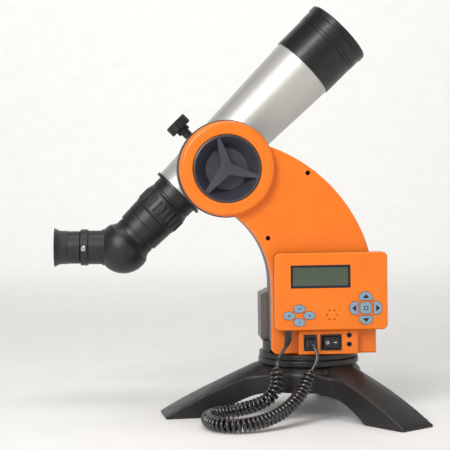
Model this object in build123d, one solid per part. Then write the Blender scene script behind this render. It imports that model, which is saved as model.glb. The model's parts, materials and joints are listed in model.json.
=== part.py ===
from build123d import *

import math
import os

# A small motor-driven refractor telescope on a curved one-sided arm, over a moulded tabletop tripod.
# Millimetres. +Z is up, the azimuth axis is the Z axis and the floor is z = 0.
# The arm's face with the hand controller looks toward -Y. The optical tube is behind the arm, on +Y.

# --- tripod ---------------------------------------------------------------------------------------
TOE_REACH = 147.0  # azimuth axis to the outer end of a foot
HEEL_REACH = 97.0  # azimuth axis to the inner end of a foot
LEG_WIDTH = 41.0
LEG_DIRECTIONS = (-54.0, 66.0, 186.0)
HUB_RADIUS = 49.0
HUB_UNDERSIDE = 24.5
HUB_TOP = 50.0
LEG_TOE_HEIGHT = 2.6  # height of the top edge at the very end of a leg
SHOULDER_RADIUS = 52.0  # where the legs' slope begins
SHOULDER_HEIGHT = 42.5  # height of the legs' side edges there
CROTCH_RADIUS = 45.0  # curves between the legs, seen from above
ARCH_HEIGHT = 18.6  # clearance under the middle of a leg
BOLT_POCKET_RADIUS = 22.0
BOLT_POCKET_TOP = 37.0
BOLT_RADIUS = 3.0
BOLT_HEAD_RADIUS = 13.0
BOLT_HEAD_HEIGHT = 8.0

# --- azimuth turntable ------------------------------------------------------------------------------
BASE_RING_RADIUS = 50.0
BASE_RING_TOP = 56.0
BASE_GEAR_RADIUS = 40.0  # inner wall of the base ring, where the azimuth pinion rolls
TURNTABLE_RADIUS = 49.0
TURNTABLE_TOP = 61.5
NECK_RADIUS = 45.5
NECK_TOP = 72.0
SPINDLE_RADIUS = 10.0
SPINDLE_BOTTOM = BOLT_POCKET_TOP + 0.5

# --- arm --------------------------------------------------------------------------------------------
HUB_X = -82.0  # the altitude axis runs along Y through (HUB_X, HUB_Z)
HUB_Z = 243.0
OUTER_BEND = (-93.0, 118.0)  # centre of the arm's outer curve, in X and Z
OUTER_BEND_RADIUS = 155.5
INNER_BEND = (-123.3, 129.4)  # centre of the arm's inner curve
INNER_BEND_RADIUS = 83.2
COVER_FRONT = -38.0
COVER_BACK = -30.0
SHELL_BACK = 8.0
SHELL_WALL = 2.4
COVER_HUB_RADIUS = 45.2
HUB_BLEND = 3.0  # small fillets where the round hub meets the neck's two curves
SHELL_HUB_RADIUS = 47.6
RING_FRONT = -48.5
RING_OUTER_RADIUS = 46.2
RING_INNER_RADIUS = 33.2
RING_ROUND = 5.0
SCREW_PLACES = ((-3.1, 238.0), (-42.6, 175.2), (-31.0, 112.0), (53.0, 112.0))
SCREW_RECESS_RADIUS = 2.4
SCREW_RECESS_DEPTH = 5.0

# --- clutch knob in the middle of the arm's hub -------------------------------------------------------
KNOB_RADIUS = 32.8
KNOB_FRONT = -47.6
KNOB_FLOOR = -31.5
KNOB_FLOOR_RADIUS = 20.5
KNOB_WALL = 2.2
WEB_ANGLES = (105.0, -15.0, 229.0)
WEB_ROOT_WIDTH = 12.0
WEB_TIP_WIDTH = 3.6
WEB_TOP = -45.6

# --- altitude shaft and saddle ------------------------------------------------------------------------
SHAFT_RADIUS = 6.0
STUD_RADIUS = 3.0
ALTITUDE_GEAR_RADIUS = 26.0
ALTITUDE_GEAR_FRONT = -8.0
ALTITUDE_GEAR_BACK = -3.0
SADDLE_RADIUS = 46.5
SADDLE_BACK = 38.0
SADDLE_POCKET_FLOOR = 26.0  # the saddle is hollow on the arm's side, up to here
DOVETAIL_WIDTH = 26.0
DOVETAIL_DEPTH = 8.0
DOVETAIL_LENGTH = 86.0
TUBE_TRAVEL = 10.0  # how far the bar slides forward in the saddle
CLAMP_HEAD_RADIUS = 12.0
CLAMP_HEAD_FROM = 58.0  # altitude axis to the near face of the clamp knob's head
CLAMP_HEAD_THICKNESS = 10.3
CLAMP_LOBES = 8
CLAMP_SCREW_RADIUS = 3.0
CLAMP_NECK_RADIUS = 4.6
CLAMP_COLLAR_RADIUS = 6.2
CLAMP_COLLAR_LENGTH = 4.5

# --- optical tube -------------------------------------------------------------------------------------
TUBE_Y = 80.0
TUBE_ELEVATION = 44.3  # degrees above the horizon at rest
TUBE_REAR = (-124.8, 220.2)  # centre of the tube's rear end, in X and Z
TUBE_LENGTH = 184.4
TUBE_REAR_RADIUS = 27.4
TUBE_FRONT_RADIUS = 35.2
TUBE_WALL = 1.6
SHIELD_LENGTH = 37.0
SHIELD_RADIUS = 36.3
SHIELD_WALL = 2.0
CAP_RADIUS = 37.6
CAP_LENGTH = 18.0
CAP_OVERLAP = 8.0
LENS_RADIUS = 30.0
CROWN_THICKNESS = 6.0
FLINT_THICKNESS = 4.0
LENS_GAP = 1.8
CROWN_SAG = 1.6  # how far the crown lens bows out, which the flint lens follows
FLINT_SAG = 0.6  # how far the flint lens bows out at its back
FLANGE_RADIUS = 29.2
FLANGE_THICKNESS = 3.2

# --- focuser, diagonal and eyepiece -------------------------------------------------------------------
FOCUS_BODY_RADIUS = 24.6
FOCUS_BODY_LENGTH = 11.6
FOCUS_RING_RADIUS = 25.2
FOCUS_RIB_RADIUS = 26.7
FOCUS_RING_LENGTH = 23.0
FOCUS_RIBS = 30
GUIDE_RADIUS = 20.0
DRAW_BORE_RADIUS = 15.5
DRAW_RADIUS = 18.0
DRAW_SLEEVE_FRONT_RADIUS = 24.8
DRAW_SLEEVE_BACK_RADIUS = 23.8
DRAW_SLEEVE_LENGTH = 23.2
DIAGONAL_FROM_REAR = 82.5  # tube's rear end to the centre of the ball housing
DIAGONAL_BALL_RADIUS = 27.6
DIAGONAL_BALL_WALL = 2.4
DIAGONAL_COLLAR_RADIUS = 22.7
DIAGONAL_COLLAR_LENGTH = 4.3
DIAGONAL_BEND = 45.0
PRISM_SIDE = 24.0
HOLDER_RADIUS = 17.7
HOLDER_FROM = 22.6  # ball centre to the outlet tube's inner end
HOLDER_COLLAR_RADIUS = 19.0
HOLDER_COLLAR_FROM = 36.6  # ball centre to the near side of the collar
HOLDER_END = 45.0
EYEPIECE_BARREL_RADIUS = 15.875
EYEPIECE_FIT = 0.075
EYEPIECE_BODY_RADIUS = 17.1
EYEPIECE_BODY_LENGTH = 13.3
EYEPIECE_BARREL_LENGTH = 18.0
EYEPIECE_BORE_RADIUS = 12.0
EYECUP_LENGTH = 13.7
EYECUP_BASE_LENGTH = 6.0
EYECUP_BASE_RADIUS = 17.5
EYECUP_RIM_RADIUS = 20.5
EYECUP_WALL = 1.6
SET_SCREW_FROM = 41.2  # ball centre to the set screw
SET_SCREW_HEAD_RADIUS = 2.9
SET_SCREW_HEAD_HEIGHT = 4.4
SET_SCREW_RADIUS = 1.5

# --- battery box on the back of the arm ---------------------------------------------------------------
BATTERY_LEFT = -46.5
BATTERY_RIGHT = 56.0
BATTERY_BOTTOM = 72.0
BATTERY_TOP = 120.6
BATTERY_BACK = 41.5
BATTERY_CHAMFER = 4.0
DOOR_THICKNESS = 2.0
CELL_RADIUS = 7.1
CELL_LENGTH = 50.0
CELL_PITCH = 14.4

# --- hand controller ----------------------------------------------------------------------------------
PANEL_LEFT = -38.0
PANEL_RIGHT = 71.3
PANEL_BOTTOM = 86.0
PANEL_TOP = 161.0
PANEL_FRONT = -54.0
PANEL_BACK = COVER_FRONT - 0.4
PANEL_SPLIT = -45.0  # where the front and back halves meet
PANEL_CORNER = 5.0
PANEL_EDGE_ROUND = 2.0
PANEL_WALL = 2.2
SCREEN_CENTRE = (6.2, 138.1)
SCREEN_SIZE = (58.0, 22.2)
KEY_CLUSTER = (-14.8, 100.8)
KEY_CLUSTER_STEP = (9.8, 6.5)
OVAL_KEY_SIZE = (11.4, 7.8)
PAD_CENTRE = (49.8, 107.1)
PAD_KEY_FROM = 7.6  # pad centre to the flat side of an arrow key
PAD_KEY_DEPTH = 8.2
PAD_KEY_WIDTH = 13.0
SELECT_KEY_SIDE = 11.0
KEY_PROUD = 1.2
KEY_DEPTH = 5.0
KEY_GAP = 0.3
SPEAKER_CENTRE = (17.0, 101.1)
SPEAKER_RING = 5.0
SPEAKER_HOLES = 6
SPEAKER_HOLE_RADIUS = 0.7
DOCK_POST_RADIUS = 3.0
DOCK_POST_LENGTH = 4.0
DOCK_POSTS = ((-22.0, 152.0), (45.0, 152.0))

# --- connector housing under the controller -----------------------------------------------------------
HOUSING_LEFT = -14.8
HOUSING_RIGHT = 43.5
HOUSING_BOTTOM = TURNTABLE_TOP + 0.3
HOUSING_TOP = PANEL_BOTTOM - 0.6
HOUSING_FRONT = -46.0
JACK_CENTRE = (-3.4, 73.4)
JACK_SIZE = (12.9, 15.7)
JACK_DEPTH = 14.0
PLUG_SIZE = (9.6, 7.6)
PLUG_LENGTH = 10.0
PLUG_GAP = 0.3
SWITCH_CENTRE = (16.7, 73.5)
SWITCH_SIZE = (20.6, 15.5)
SWITCH_DEPTH = 12.0
ROCKER_SIZE = (16.4, 11.2)
ROCKER_TILT = 7.0
SOCKET_PLACES = ((34.6, 80.2), (34.6, 71.4))
SOCKET_RADIUS = 2.45
SOCKET_BODY_RADIUS = 2.9
SOCKET_BORE_RADIUS = 1.25
SOCKET_DEPTH = 9.0

# --- curly cord ---------------------------------------------------------------------------------------
LEAD_DIAMETER = 3.4
COIL_DIAMETER = 14.2
RELIEF_TOP_RADIUS = 3.4
RELIEF_TIP_RADIUS = 2.5
RELIEF_LENGTH = 15.0
RELIEF_STRAIGHT = 9.0  # how much of it below the controller doesn't taper
# From the controller's strain relief to the coil, round the coil, and from the coil up to the plug.
LEAD_OUT = [(-27.4, -49.6, 71.2), (-31.6, -53.2, 65.2), (-36.4, -58.4, 60.4), (-37.4, -62.0, 53.0)]
COIL_ROUTE = [
    (-37.4, -62.0, 53.0),
    (-37.2, -65.5, 37.0),
    (-44.5, -68.0, 24.5),
    (-58.0, -62.5, 16.5),
    (-73.5, -52.5, 11.0),
    (-89.5, -50.5, 8.4),
    (-102.5, -61.0, 7.5),
    (-106.0, -78.5, 7.4),
    (-103.0, -97.0, 7.4),
    (-93.5, -112.5, 7.4),
    (-76.5, -117.5, 7.6),
    (-57.5, -109.5, 9.0),
    (-39.5, -98.0, 13.5),
    (-24.5, -86.0, 22.0),
    (-12.5, -75.5, 34.5),
    (-5.0, -67.0, 49.5),
]
LEAD_IN = [(-5.0, -67.0, 49.5), (0.2, -64.6, 57.6), (1.2, -62.4, 65.2), (-1.2, -60.0, 70.6), (-3.4, -56.0, 73.0)]

# --- clearances ---------------------------------------------------------------------------------------
GAP = 0.3  # between bodies that pass each other
FIT = 0.05  # radial, between a shaft and its bore

os.makedirs("parts", exist_ok=True)


def save(name, shape):
    export_step(shape, f"parts/{name}.step")


def turned(outline):
    """A solid of revolution about Z from (radius, height) points."""
    return revolve(Plane.XZ * make_face(Polyline(*outline, close=True)), Axis.Z)


def ring(outer, inner, low, high):
    """A plain ring about Z."""
    return turned([(inner, low), (outer, low), (outer, high), (inner, high)])


def rod(radius, low, high):
    return Pos(0, 0, (low + high) / 2) * Cylinder(radius, high - low)


def block(low, high):
    """A box from its lowest to its highest corner."""
    size = [b - a for a, b in zip(low, high)]
    middle = [(a + b) / 2 for a, b in zip(low, high)]
    return Pos(*middle) * Box(*size)


def slab(outline, front, back):
    """An outline drawn in X and Z, as a plate from y = front to y = back."""
    return extrude(Pos(0, back, 0) * (Plane.XZ * outline), amount=back - front)


def patch(x0, z0, x1, z1):
    """A rectangle in an outline, from corner to corner."""
    return Pos((x0 + x1) / 2, (z0 + z1) / 2) * Rectangle(x1 - x0, z1 - z0)


def along_y(x, z, shape):
    """Turns a shape built about Z so that its axis lies along +Y through (x, z)."""
    return Pos(x, 0, z) * Rot(-90, 0, 0) * shape


# Along the tube: local +Z points out of the front of the tube and z = 0 is the tube's rear end,
# local +X is the world's +Y, and local +Y is the clamp knob's side.
elevation = math.radians(TUBE_ELEVATION)
tube_axis = (math.cos(elevation), 0, math.sin(elevation))
tube_plane = Plane(origin=(TUBE_REAR[0], TUBE_Y, TUBE_REAR[1]), x_dir=(0, 1, 0), z_dir=tube_axis)

# Along the eyepiece: local +Z points out to the eye, z = 0 is the ball's centre, and +X is the world's -Y.
ball_centre = (
    TUBE_REAR[0] - DIAGONAL_FROM_REAR * tube_axis[0],
    TUBE_Y,
    TUBE_REAR[1] - DIAGONAL_FROM_REAR * tube_axis[2],
)
eye_angle = math.radians(180 + TUBE_ELEVATION - DIAGONAL_BEND)
eye_axis = (math.cos(eye_angle), 0, math.sin(eye_angle))
eye_plane = Plane(origin=ball_centre, x_dir=(0, -1, 0), z_dir=eye_axis)


def on_tube(shape):
    return tube_plane.location * shape


def on_eye(shape):
    return eye_plane.location * shape


# ======================================================================================================
# Tripod
# ======================================================================================================


def leg_share(reach):
    """How far along a leg's slope a distance from the azimuth axis lies, from 0 at the shoulder to 1."""
    return (reach - SHOULDER_RADIUS) / (TOE_REACH - SHOULDER_RADIUS)


def leg_edge_height(reach):
    """Height of a leg's side edges, at a distance from the azimuth axis."""
    share = leg_share(reach)
    return SHOULDER_HEIGHT - (SHOULDER_HEIGHT - LEG_TOE_HEIGHT) * (0.62 * share + 0.38 * share * share)


def leg_crown_height(reach):
    """Height of the middle of a leg's rounded top, which runs up into the hub's shoulder."""
    share = leg_share(reach)
    fall = HUB_TOP + 1.0 - LEG_TOE_HEIGHT - 0.8
    return HUB_TOP + 1.0 - fall * (0.84 * share + 0.16 * share * share)


def leg_section(reach):
    edge, crown, half = leg_edge_height(reach), leg_crown_height(reach), LEG_WIDTH / 2
    outline = Polyline((-half, edge), (-half, 0), (half, 0), (half, edge))
    outline += ThreePointArc((half, edge), (0, crown), (-half, edge))
    return Plane(origin=(reach, 0, 0), x_dir=(0, 1, 0), z_dir=(1, 0, 0)) * make_face(outline)


def leg():
    """One leg along +X, a crowned bar that falls from the hub's shoulder to its toe."""
    stations = [30.0, 50.0, 75.0, 100.0, 125.0, TOE_REACH]
    return loft([leg_section(reach) for reach in stations])


def arch():
    """The space under a leg along +X, between its flat foot and the middle of the hub."""
    middle = (HEEL_REACH + HUB_RADIUS) / 2 - 8.0
    outline = make_face(
        Polyline((0, -5), (HEEL_REACH + 4, -5), (HEEL_REACH, 0))
        + ThreePointArc((HEEL_REACH, 0), (middle, ARCH_HEIGHT), (HUB_RADIUS - 20, HUB_UNDERSIDE))
        + Polyline((HUB_RADIUS - 20, HUB_UNDERSIDE), (0, HUB_UNDERSIDE), (0, -5))
    )
    return extrude(Plane.XZ * outline, amount=1.5 * LEG_WIDTH, both=True)


def web_outline():
    """The hub and the legs' roots seen from above, with wide curves where they meet."""
    run = TOE_REACH - 10.0
    plan = Circle(SHOULDER_RADIUS)
    for direction in LEG_DIRECTIONS:
        plan += Rot(0, 0, direction) * Pos(run / 2, 0) * Rectangle(run, LEG_WIDTH)
    crotches = [v for v in plan.vertices() if Vector(v.X, v.Y).length < TOE_REACH / 2]
    return fillet(crotches, CROTCH_RADIUS)


def tripod_base():
    slope = [(reach, leg_edge_height(reach)) for reach in (95.0, 80.0, 65.0, SHOULDER_RADIUS)]
    skin = turned([(0, 0), (95.0, 0)] + slope + [(HUB_RADIUS - 3.0, HUB_TOP), (0, HUB_TOP)])
    body = extrude(web_outline(), amount=HUB_TOP) & skin
    for direction in LEG_DIRECTIONS:
        body += Rot(0, 0, direction) * leg()
    body &= rod(TOE_REACH * 1.2, -1, HUB_TOP)
    for direction in LEG_DIRECTIONS:
        body -= Rot(0, 0, direction) * arch()
    body -= rod(BOLT_POCKET_RADIUS, 0, BOLT_POCKET_TOP)
    return body - rod(SPINDLE_RADIUS + FIT, 0, HUB_TOP + 1)


def base_ring():
    return turned(
        [
            (BASE_GEAR_RADIUS, HUB_TOP),
            (BASE_RING_RADIUS, HUB_TOP),
            (BASE_RING_RADIUS, BASE_RING_TOP - 1.2),
            (BASE_RING_RADIUS - 1.2, BASE_RING_TOP),
            (BASE_GEAR_RADIUS, BASE_RING_TOP),
        ]
    )


def tripod_bolt():
    """The hand bolt that pulls the turntable's spindle down into the tripod."""
    head_top = BOLT_POCKET_TOP - GAP
    head = rod(BOLT_HEAD_RADIUS, head_top - BOLT_HEAD_HEIGHT, head_top)
    flute = rod(BOLT_HEAD_RADIUS * 0.3, 0, HUB_TOP)
    for flutes in PolarLocations(BOLT_HEAD_RADIUS * 1.12, 6):
        head -= flutes * flute
    return head + rod(BOLT_RADIUS, head_top, BASE_RING_TOP)


# ======================================================================================================
# Arm
# ======================================================================================================


def arm_outline(hub_radius, inset=0.0):
    """The arm seen from the front: a round hub, a curved neck and a square foot."""
    left = INNER_BEND[0] + INNER_BEND_RADIUS + inset
    right = OUTER_BEND[0] + OUTER_BEND_RADIUS - inset
    foot = TURNTABLE_TOP + inset
    neck = Pos(*OUTER_BEND) * Circle(OUTER_BEND_RADIUS - inset)
    neck &= patch(HUB_X, OUTER_BEND[1], right, HUB_Z + OUTER_BEND_RADIUS)
    neck -= Pos(*INNER_BEND) * Circle(INNER_BEND_RADIUS + inset)
    neck -= patch(HUB_X, OUTER_BEND[1], left, INNER_BEND[1])
    hub = Pos(HUB_X, HUB_Z) * Circle(hub_radius - inset)
    outline = hub + neck + patch(left, foot, right, OUTER_BEND[1])
    return fillet([v for v in outline.vertices() if v.Y > INNER_BEND[1] + 1], HUB_BLEND)


def foot_corner(x, depth):
    """The cut corner at the foot of the arm's left side."""
    return make_face(Polyline((x, TURNTABLE_TOP), (x + depth, TURNTABLE_TOP), (x, TURNTABLE_TOP + depth), close=True))


arm_left = INNER_BEND[0] + INNER_BEND_RADIUS
motor_reach = BASE_GEAR_RADIUS - 5.0 - GAP
motor_place = (motor_reach * math.cos(math.radians(-20)), motor_reach * math.sin(math.radians(-20)))
PINION_RADIUS = 5.0
PINION_HOLE_RADIUS = 6.0


def arm_front_cover():
    cover = slab(arm_outline(COVER_HUB_RADIUS), COVER_FRONT, COVER_BACK)
    cover = fillet(cover.faces().sort_by(Axis.Y)[0].edges(), 2.0)
    cover -= slab(arm_outline(COVER_HUB_RADIUS, SHELL_WALL), COVER_FRONT + SHELL_WALL, COVER_BACK + 1)
    cover -= slab(foot_corner(arm_left - 1, 5.0), COVER_FRONT - 1, COVER_BACK + 1)
    round_off = RING_ROUND
    rim = Plane.XZ * make_face(
        Polyline(
            (RING_OUTER_RADIUS, RING_FRONT + round_off),
            (RING_OUTER_RADIUS, COVER_FRONT + 3),
            (RING_INNER_RADIUS, COVER_FRONT + 3),
            (RING_INNER_RADIUS, RING_FRONT + 1),
            (RING_INNER_RADIUS + 1, RING_FRONT),
            (RING_OUTER_RADIUS - round_off, RING_FRONT),
        )
        + RadiusArc(
            (RING_OUTER_RADIUS - round_off, RING_FRONT), (RING_OUTER_RADIUS, RING_FRONT + round_off), -round_off
        )
    )
    cover += along_y(HUB_X, HUB_Z, revolve(rim, Axis.Z))
    hollow = ring(
        RING_OUTER_RADIUS - SHELL_WALL, RING_INNER_RADIUS + SHELL_WALL, RING_FRONT + round_off, COVER_BACK + 1
    )
    cover -= along_y(HUB_X, HUB_Z, hollow)
    cover -= along_y(HUB_X, HUB_Z, rod(RING_INNER_RADIUS, RING_FRONT - 1, COVER_BACK + 1))
    for x, z in SCREW_PLACES:
        cover += along_y(x, z, rod(SCREW_RECESS_RADIUS + 1.8, COVER_FRONT + 1, COVER_BACK))
        cover -= along_y(x, z, rod(SCREW_RECESS_RADIUS, COVER_FRONT - 1, COVER_FRONT + SCREW_RECESS_DEPTH))
        cover -= along_y(x, z, rod(1.6, COVER_FRONT, COVER_BACK + 1))
    for x, z in DOCK_POSTS:
        cover -= along_y(x, z, rod(DOCK_POST_RADIUS + GAP, COVER_FRONT - 1, COVER_FRONT + SHELL_WALL + 1))
    opening = patch(HOUSING_LEFT + 2.2, HOUSING_BOTTOM + 2.2, HOUSING_RIGHT - 2.2, HOUSING_TOP - 2.2)
    return cover - slab(opening, COVER_FRONT - 1, COVER_FRONT + SHELL_WALL + 1)


def arm_rear_shell():
    shell = slab(arm_outline(SHELL_HUB_RADIUS), COVER_BACK, SHELL_BACK)
    shell = fillet(shell.faces().sort_by(Axis.Y)[-1].edges(), 2.0)
    shell -= slab(arm_outline(SHELL_HUB_RADIUS, SHELL_WALL), COVER_BACK - 1, SHELL_BACK - SHELL_WALL)
    shell -= slab(foot_corner(arm_left - 1, 5.0), COVER_BACK - 1, SHELL_BACK + 1)
    boss = rod(SHAFT_RADIUS + 4, ALTITUDE_GEAR_BACK + 1, SHELL_BACK - 1)
    shell += along_y(HUB_X, HUB_Z, boss)
    shell -= along_y(HUB_X, HUB_Z, rod(SHAFT_RADIUS + FIT, ALTITUDE_GEAR_BACK, SHELL_BACK + 1))
    for x, z in SCREW_PLACES:
        shell += along_y(x, z, rod(4.0, COVER_BACK, SHELL_BACK - 1) - rod(1.6, COVER_BACK - 1, -6))
    return shell - Pos(*motor_place) * rod(PINION_HOLE_RADIUS, TURNTABLE_TOP - 1, TURNTABLE_TOP + SHELL_WALL + 1)


def shell_screws():
    """The screws deep in the cover's recesses, which hold the two halves of the arm together."""
    head = rod(SCREW_RECESS_RADIUS - 0.1, COVER_FRONT + SCREW_RECESS_DEPTH - 2, COVER_FRONT + SCREW_RECESS_DEPTH)
    screw = head + rod(1.5, COVER_FRONT + SCREW_RECESS_DEPTH, -14)
    return Compound([along_y(x, z, screw) for x, z in SCREW_PLACES])


def turntable():
    table = rod(TURNTABLE_RADIUS, BASE_RING_TOP + GAP, TURNTABLE_TOP)
    table = chamfer(table.edges().group_by(Axis.Z)[-1], 0.8)
    table += rod(SPINDLE_RADIUS, SPINDLE_BOTTOM, BASE_RING_TOP + 1)
    table -= rod(BOLT_RADIUS + 0.2, SPINDLE_BOTTOM - 1, BASE_RING_TOP + 2)
    neck = rod(NECK_RADIUS, TURNTABLE_TOP, NECK_TOP)
    neck -= block((-60, -60, TURNTABLE_TOP - 1), (60, COVER_BACK, NECK_TOP + 1))
    neck -= block((arm_left, COVER_BACK - 1, TURNTABLE_TOP - 1), (60, SHELL_BACK, NECK_TOP + 1))
    neck -= battery_skirt()
    table += neck
    return table - Pos(*motor_place) * rod(PINION_HOLE_RADIUS, BASE_RING_TOP, TURNTABLE_TOP + 1)


def azimuth_motor():
    """Geared motor standing in the arm's foot, with its pinion down in the base ring."""
    can = rod(11.5, TURNTABLE_TOP + SHELL_WALL, TURNTABLE_TOP + SHELL_WALL + 26)
    return Pos(*motor_place) * (can + rod(PINION_RADIUS, HUB_TOP + 0.5, TURNTABLE_TOP + SHELL_WALL + 1))


def altitude_motor():
    """Geared motor beside the altitude gear, with its pinion against the gear's rim."""
    spread = ALTITUDE_GEAR_RADIUS + PINION_RADIUS + GAP
    x = HUB_X + spread * math.cos(math.radians(-40))
    z = HUB_Z + spread * math.sin(math.radians(-40))
    can = rod(11.5, COVER_BACK + 1, ALTITUDE_GEAR_FRONT - 2)
    return along_y(x, z, can + rod(PINION_RADIUS, ALTITUDE_GEAR_FRONT - 3, ALTITUDE_GEAR_BACK))


def main_board():
    board = slab(patch(-26, 94, 47, 150), -24.0, -22.4)
    chips = [(-10, 130, 12), (20, 135, 9), (30, 105, 8)]
    for x, z, side in chips:
        board += slab(patch(x - side / 2, z - side / 2, x + side / 2, z + side / 2), -22.4, -20.4)
    return board


def battery_outline(inset=0.0):
    left, right = BATTERY_LEFT + inset, BATTERY_RIGHT - inset
    low, high = BATTERY_BOTTOM + inset, BATTERY_TOP - inset
    cut = BATTERY_CHAMFER
    return make_face(
        Polyline(
            (left, low), (right, low), (right, high), (left + 2 * cut, high), (left, high - cut), close=True
        )
    )


def battery_skirt():
    """The slanting fin under the box's left end, in front of the neck."""
    drop = BATTERY_BOTTOM - TURNTABLE_TOP
    fin = make_face(
        Polyline(
            (BATTERY_LEFT, BATTERY_BOTTOM),
            (BATTERY_LEFT + drop, TURNTABLE_TOP),
            (BATTERY_LEFT + drop + 6, TURNTABLE_TOP),
            (BATTERY_LEFT + drop + 6, BATTERY_BOTTOM),
            close=True,
        )
    )
    return slab(fin, SHELL_BACK, SHELL_BACK + 6)


def battery_box():
    box = slab(battery_outline(), SHELL_BACK, BATTERY_BACK)
    box -= slab(battery_outline(SHELL_WALL), SHELL_BACK + SHELL_WALL, BATTERY_BACK + 1)
    box -= slab(battery_outline(1.2), BATTERY_BACK - DOOR_THICKNESS - GAP, BATTERY_BACK + 1)
    return box + battery_skirt()


def battery_door():
    door = slab(battery_outline(1.2 + GAP), BATTERY_BACK - DOOR_THICKNESS, BATTERY_BACK)
    groove = patch(BATTERY_LEFT + 12, 0, BATTERY_LEFT + 26, 1.2)
    for row in range(4):
        door -= slab(Pos(0, BATTERY_BOTTOM + 18 + 3.5 * row) * groove, BATTERY_BACK - 0.6, BATTERY_BACK + 1)
    return door


def battery_cells():
    cell = Rot(0, 90, 0) * (rod(CELL_RADIUS, 0, CELL_LENGTH - 1.5) + rod(2.7, CELL_LENGTH - 1.5, CELL_LENGTH))
    left = BATTERY_LEFT + SHELL_WALL + 10
    low = BATTERY_BOTTOM + SHELL_WALL + CELL_RADIUS + 0.2
    near = SHELL_BACK + SHELL_WALL + CELL_RADIUS + 0.2
    places = [(left, near + CELL_PITCH * j, low + CELL_PITCH * i) for i in range(3) for j in range(2)]
    return Compound([Pos(*place) * cell for place in places])


def clutch_knob():
    cup = turned(
        [
            (0, KNOB_FLOOR),
            (KNOB_FLOOR_RADIUS, KNOB_FLOOR),
            (KNOB_RADIUS - 3.4, KNOB_FRONT + 3),
            (KNOB_RADIUS - 1.8, KNOB_FRONT),
            (KNOB_RADIUS, KNOB_FRONT + 0.6),
            (KNOB_RADIUS, KNOB_FRONT + 5),
            (KNOB_RADIUS - 1.6, KNOB_FRONT + 5.6),
            (KNOB_FLOOR_RADIUS + KNOB_WALL, KNOB_FLOOR + KNOB_WALL),
            (9, KNOB_FLOOR + KNOB_WALL),
            (9, KNOB_FLOOR + KNOB_WALL + 4),
            (0, KNOB_FLOOR + KNOB_WALL + 4),
        ]
    )
    reach = KNOB_RADIUS - 2.6
    web = make_face(
        Polyline(
            (0, -WEB_ROOT_WIDTH / 2),
            (reach, -WEB_TIP_WIDTH / 2),
            (reach, WEB_TIP_WIDTH / 2),
            (0, WEB_ROOT_WIDTH / 2),
            close=True,
        )
    )
    outline = Sketch() + [Rot(0, 0, angle) * web for angle in WEB_ANGLES]
    knob = along_y(HUB_X, HUB_Z, cup) + Pos(HUB_X, 0, HUB_Z) * slab(outline, WEB_TOP, KNOB_FLOOR + 1)
    return knob - along_y(HUB_X, HUB_Z, rod(STUD_RADIUS + FIT, KNOB_FLOOR + 1, KNOB_FLOOR + 10))


def altitude_shaft():
    stud = rod(STUD_RADIUS, KNOB_FLOOR + 1.4, -24)
    shaft = rod(SHAFT_RADIUS, -24, SHELL_BACK + GAP + 8)
    return along_y(HUB_X, HUB_Z, stud + shaft)


def altitude_gear():
    return along_y(
        HUB_X, HUB_Z, ring(ALTITUDE_GEAR_RADIUS, SHAFT_RADIUS, ALTITUDE_GEAR_FRONT, ALTITUDE_GEAR_BACK)
    )


# The bar and its slot lie along the tube, under the middle of the saddle.
hub_along = (HUB_X - TUBE_REAR[0]) * tube_axis[0] + (HUB_Z - TUBE_REAR[1]) * tube_axis[2]
hub_aside = -(HUB_X - TUBE_REAR[0]) * tube_axis[2] + (HUB_Z - TUBE_REAR[1]) * tube_axis[0]
slot_floor = SADDLE_BACK - DOVETAIL_DEPTH - TUBE_Y
clamp_y = SADDLE_BACK - DOVETAIL_DEPTH / 2


def dovetail_section(spare):
    """The bar's section across the tube, wide at the bottom of the slot, centred on the altitude axis."""
    base, mouth = DOVETAIL_WIDTH / 2 + spare, DOVETAIL_WIDTH / 2 - 3 + spare
    floor, top = slot_floor, SADDLE_BACK - TUBE_Y
    return make_face(
        Polyline(
            (floor - spare, hub_aside - base),
            (top + spare, hub_aside - mouth),
            (top + spare, hub_aside + mouth),
            (floor - spare, hub_aside + base),
            close=True,
        )
    )


def saddle():
    disc = along_y(HUB_X, HUB_Z, rod(SADDLE_RADIUS, SHELL_BACK + GAP, SADDLE_BACK))
    disc = fillet(disc.edges().group_by(Axis.Y)[-1], 1.5)
    slot = on_tube(Pos(0, 0, hub_along) * extrude(dovetail_section(GAP), amount=SADDLE_RADIUS + 5, both=True))
    disc -= slot
    disc -= along_y(HUB_X, HUB_Z, rod(SHAFT_RADIUS, SHELL_BACK, SHELL_BACK + GAP + 8))
    disc -= along_y(HUB_X, HUB_Z, ring(SADDLE_RADIUS - 3, SHAFT_RADIUS + 6, SHELL_BACK, SADDLE_POCKET_FLOOR))
    way = on_clamp(rod(CLAMP_SCREW_RADIUS + FIT, 0, SADDLE_RADIUS + 5))
    return disc - way


def on_clamp(shape):
    """Places a shape built along +Z on the clamp screw's line, with z = 0 on the altitude axis."""
    away = (-tube_axis[2], 0, tube_axis[0])
    return Plane(origin=(HUB_X, clamp_y, HUB_Z), x_dir=(0, 1, 0), z_dir=away).location * shape


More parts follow.
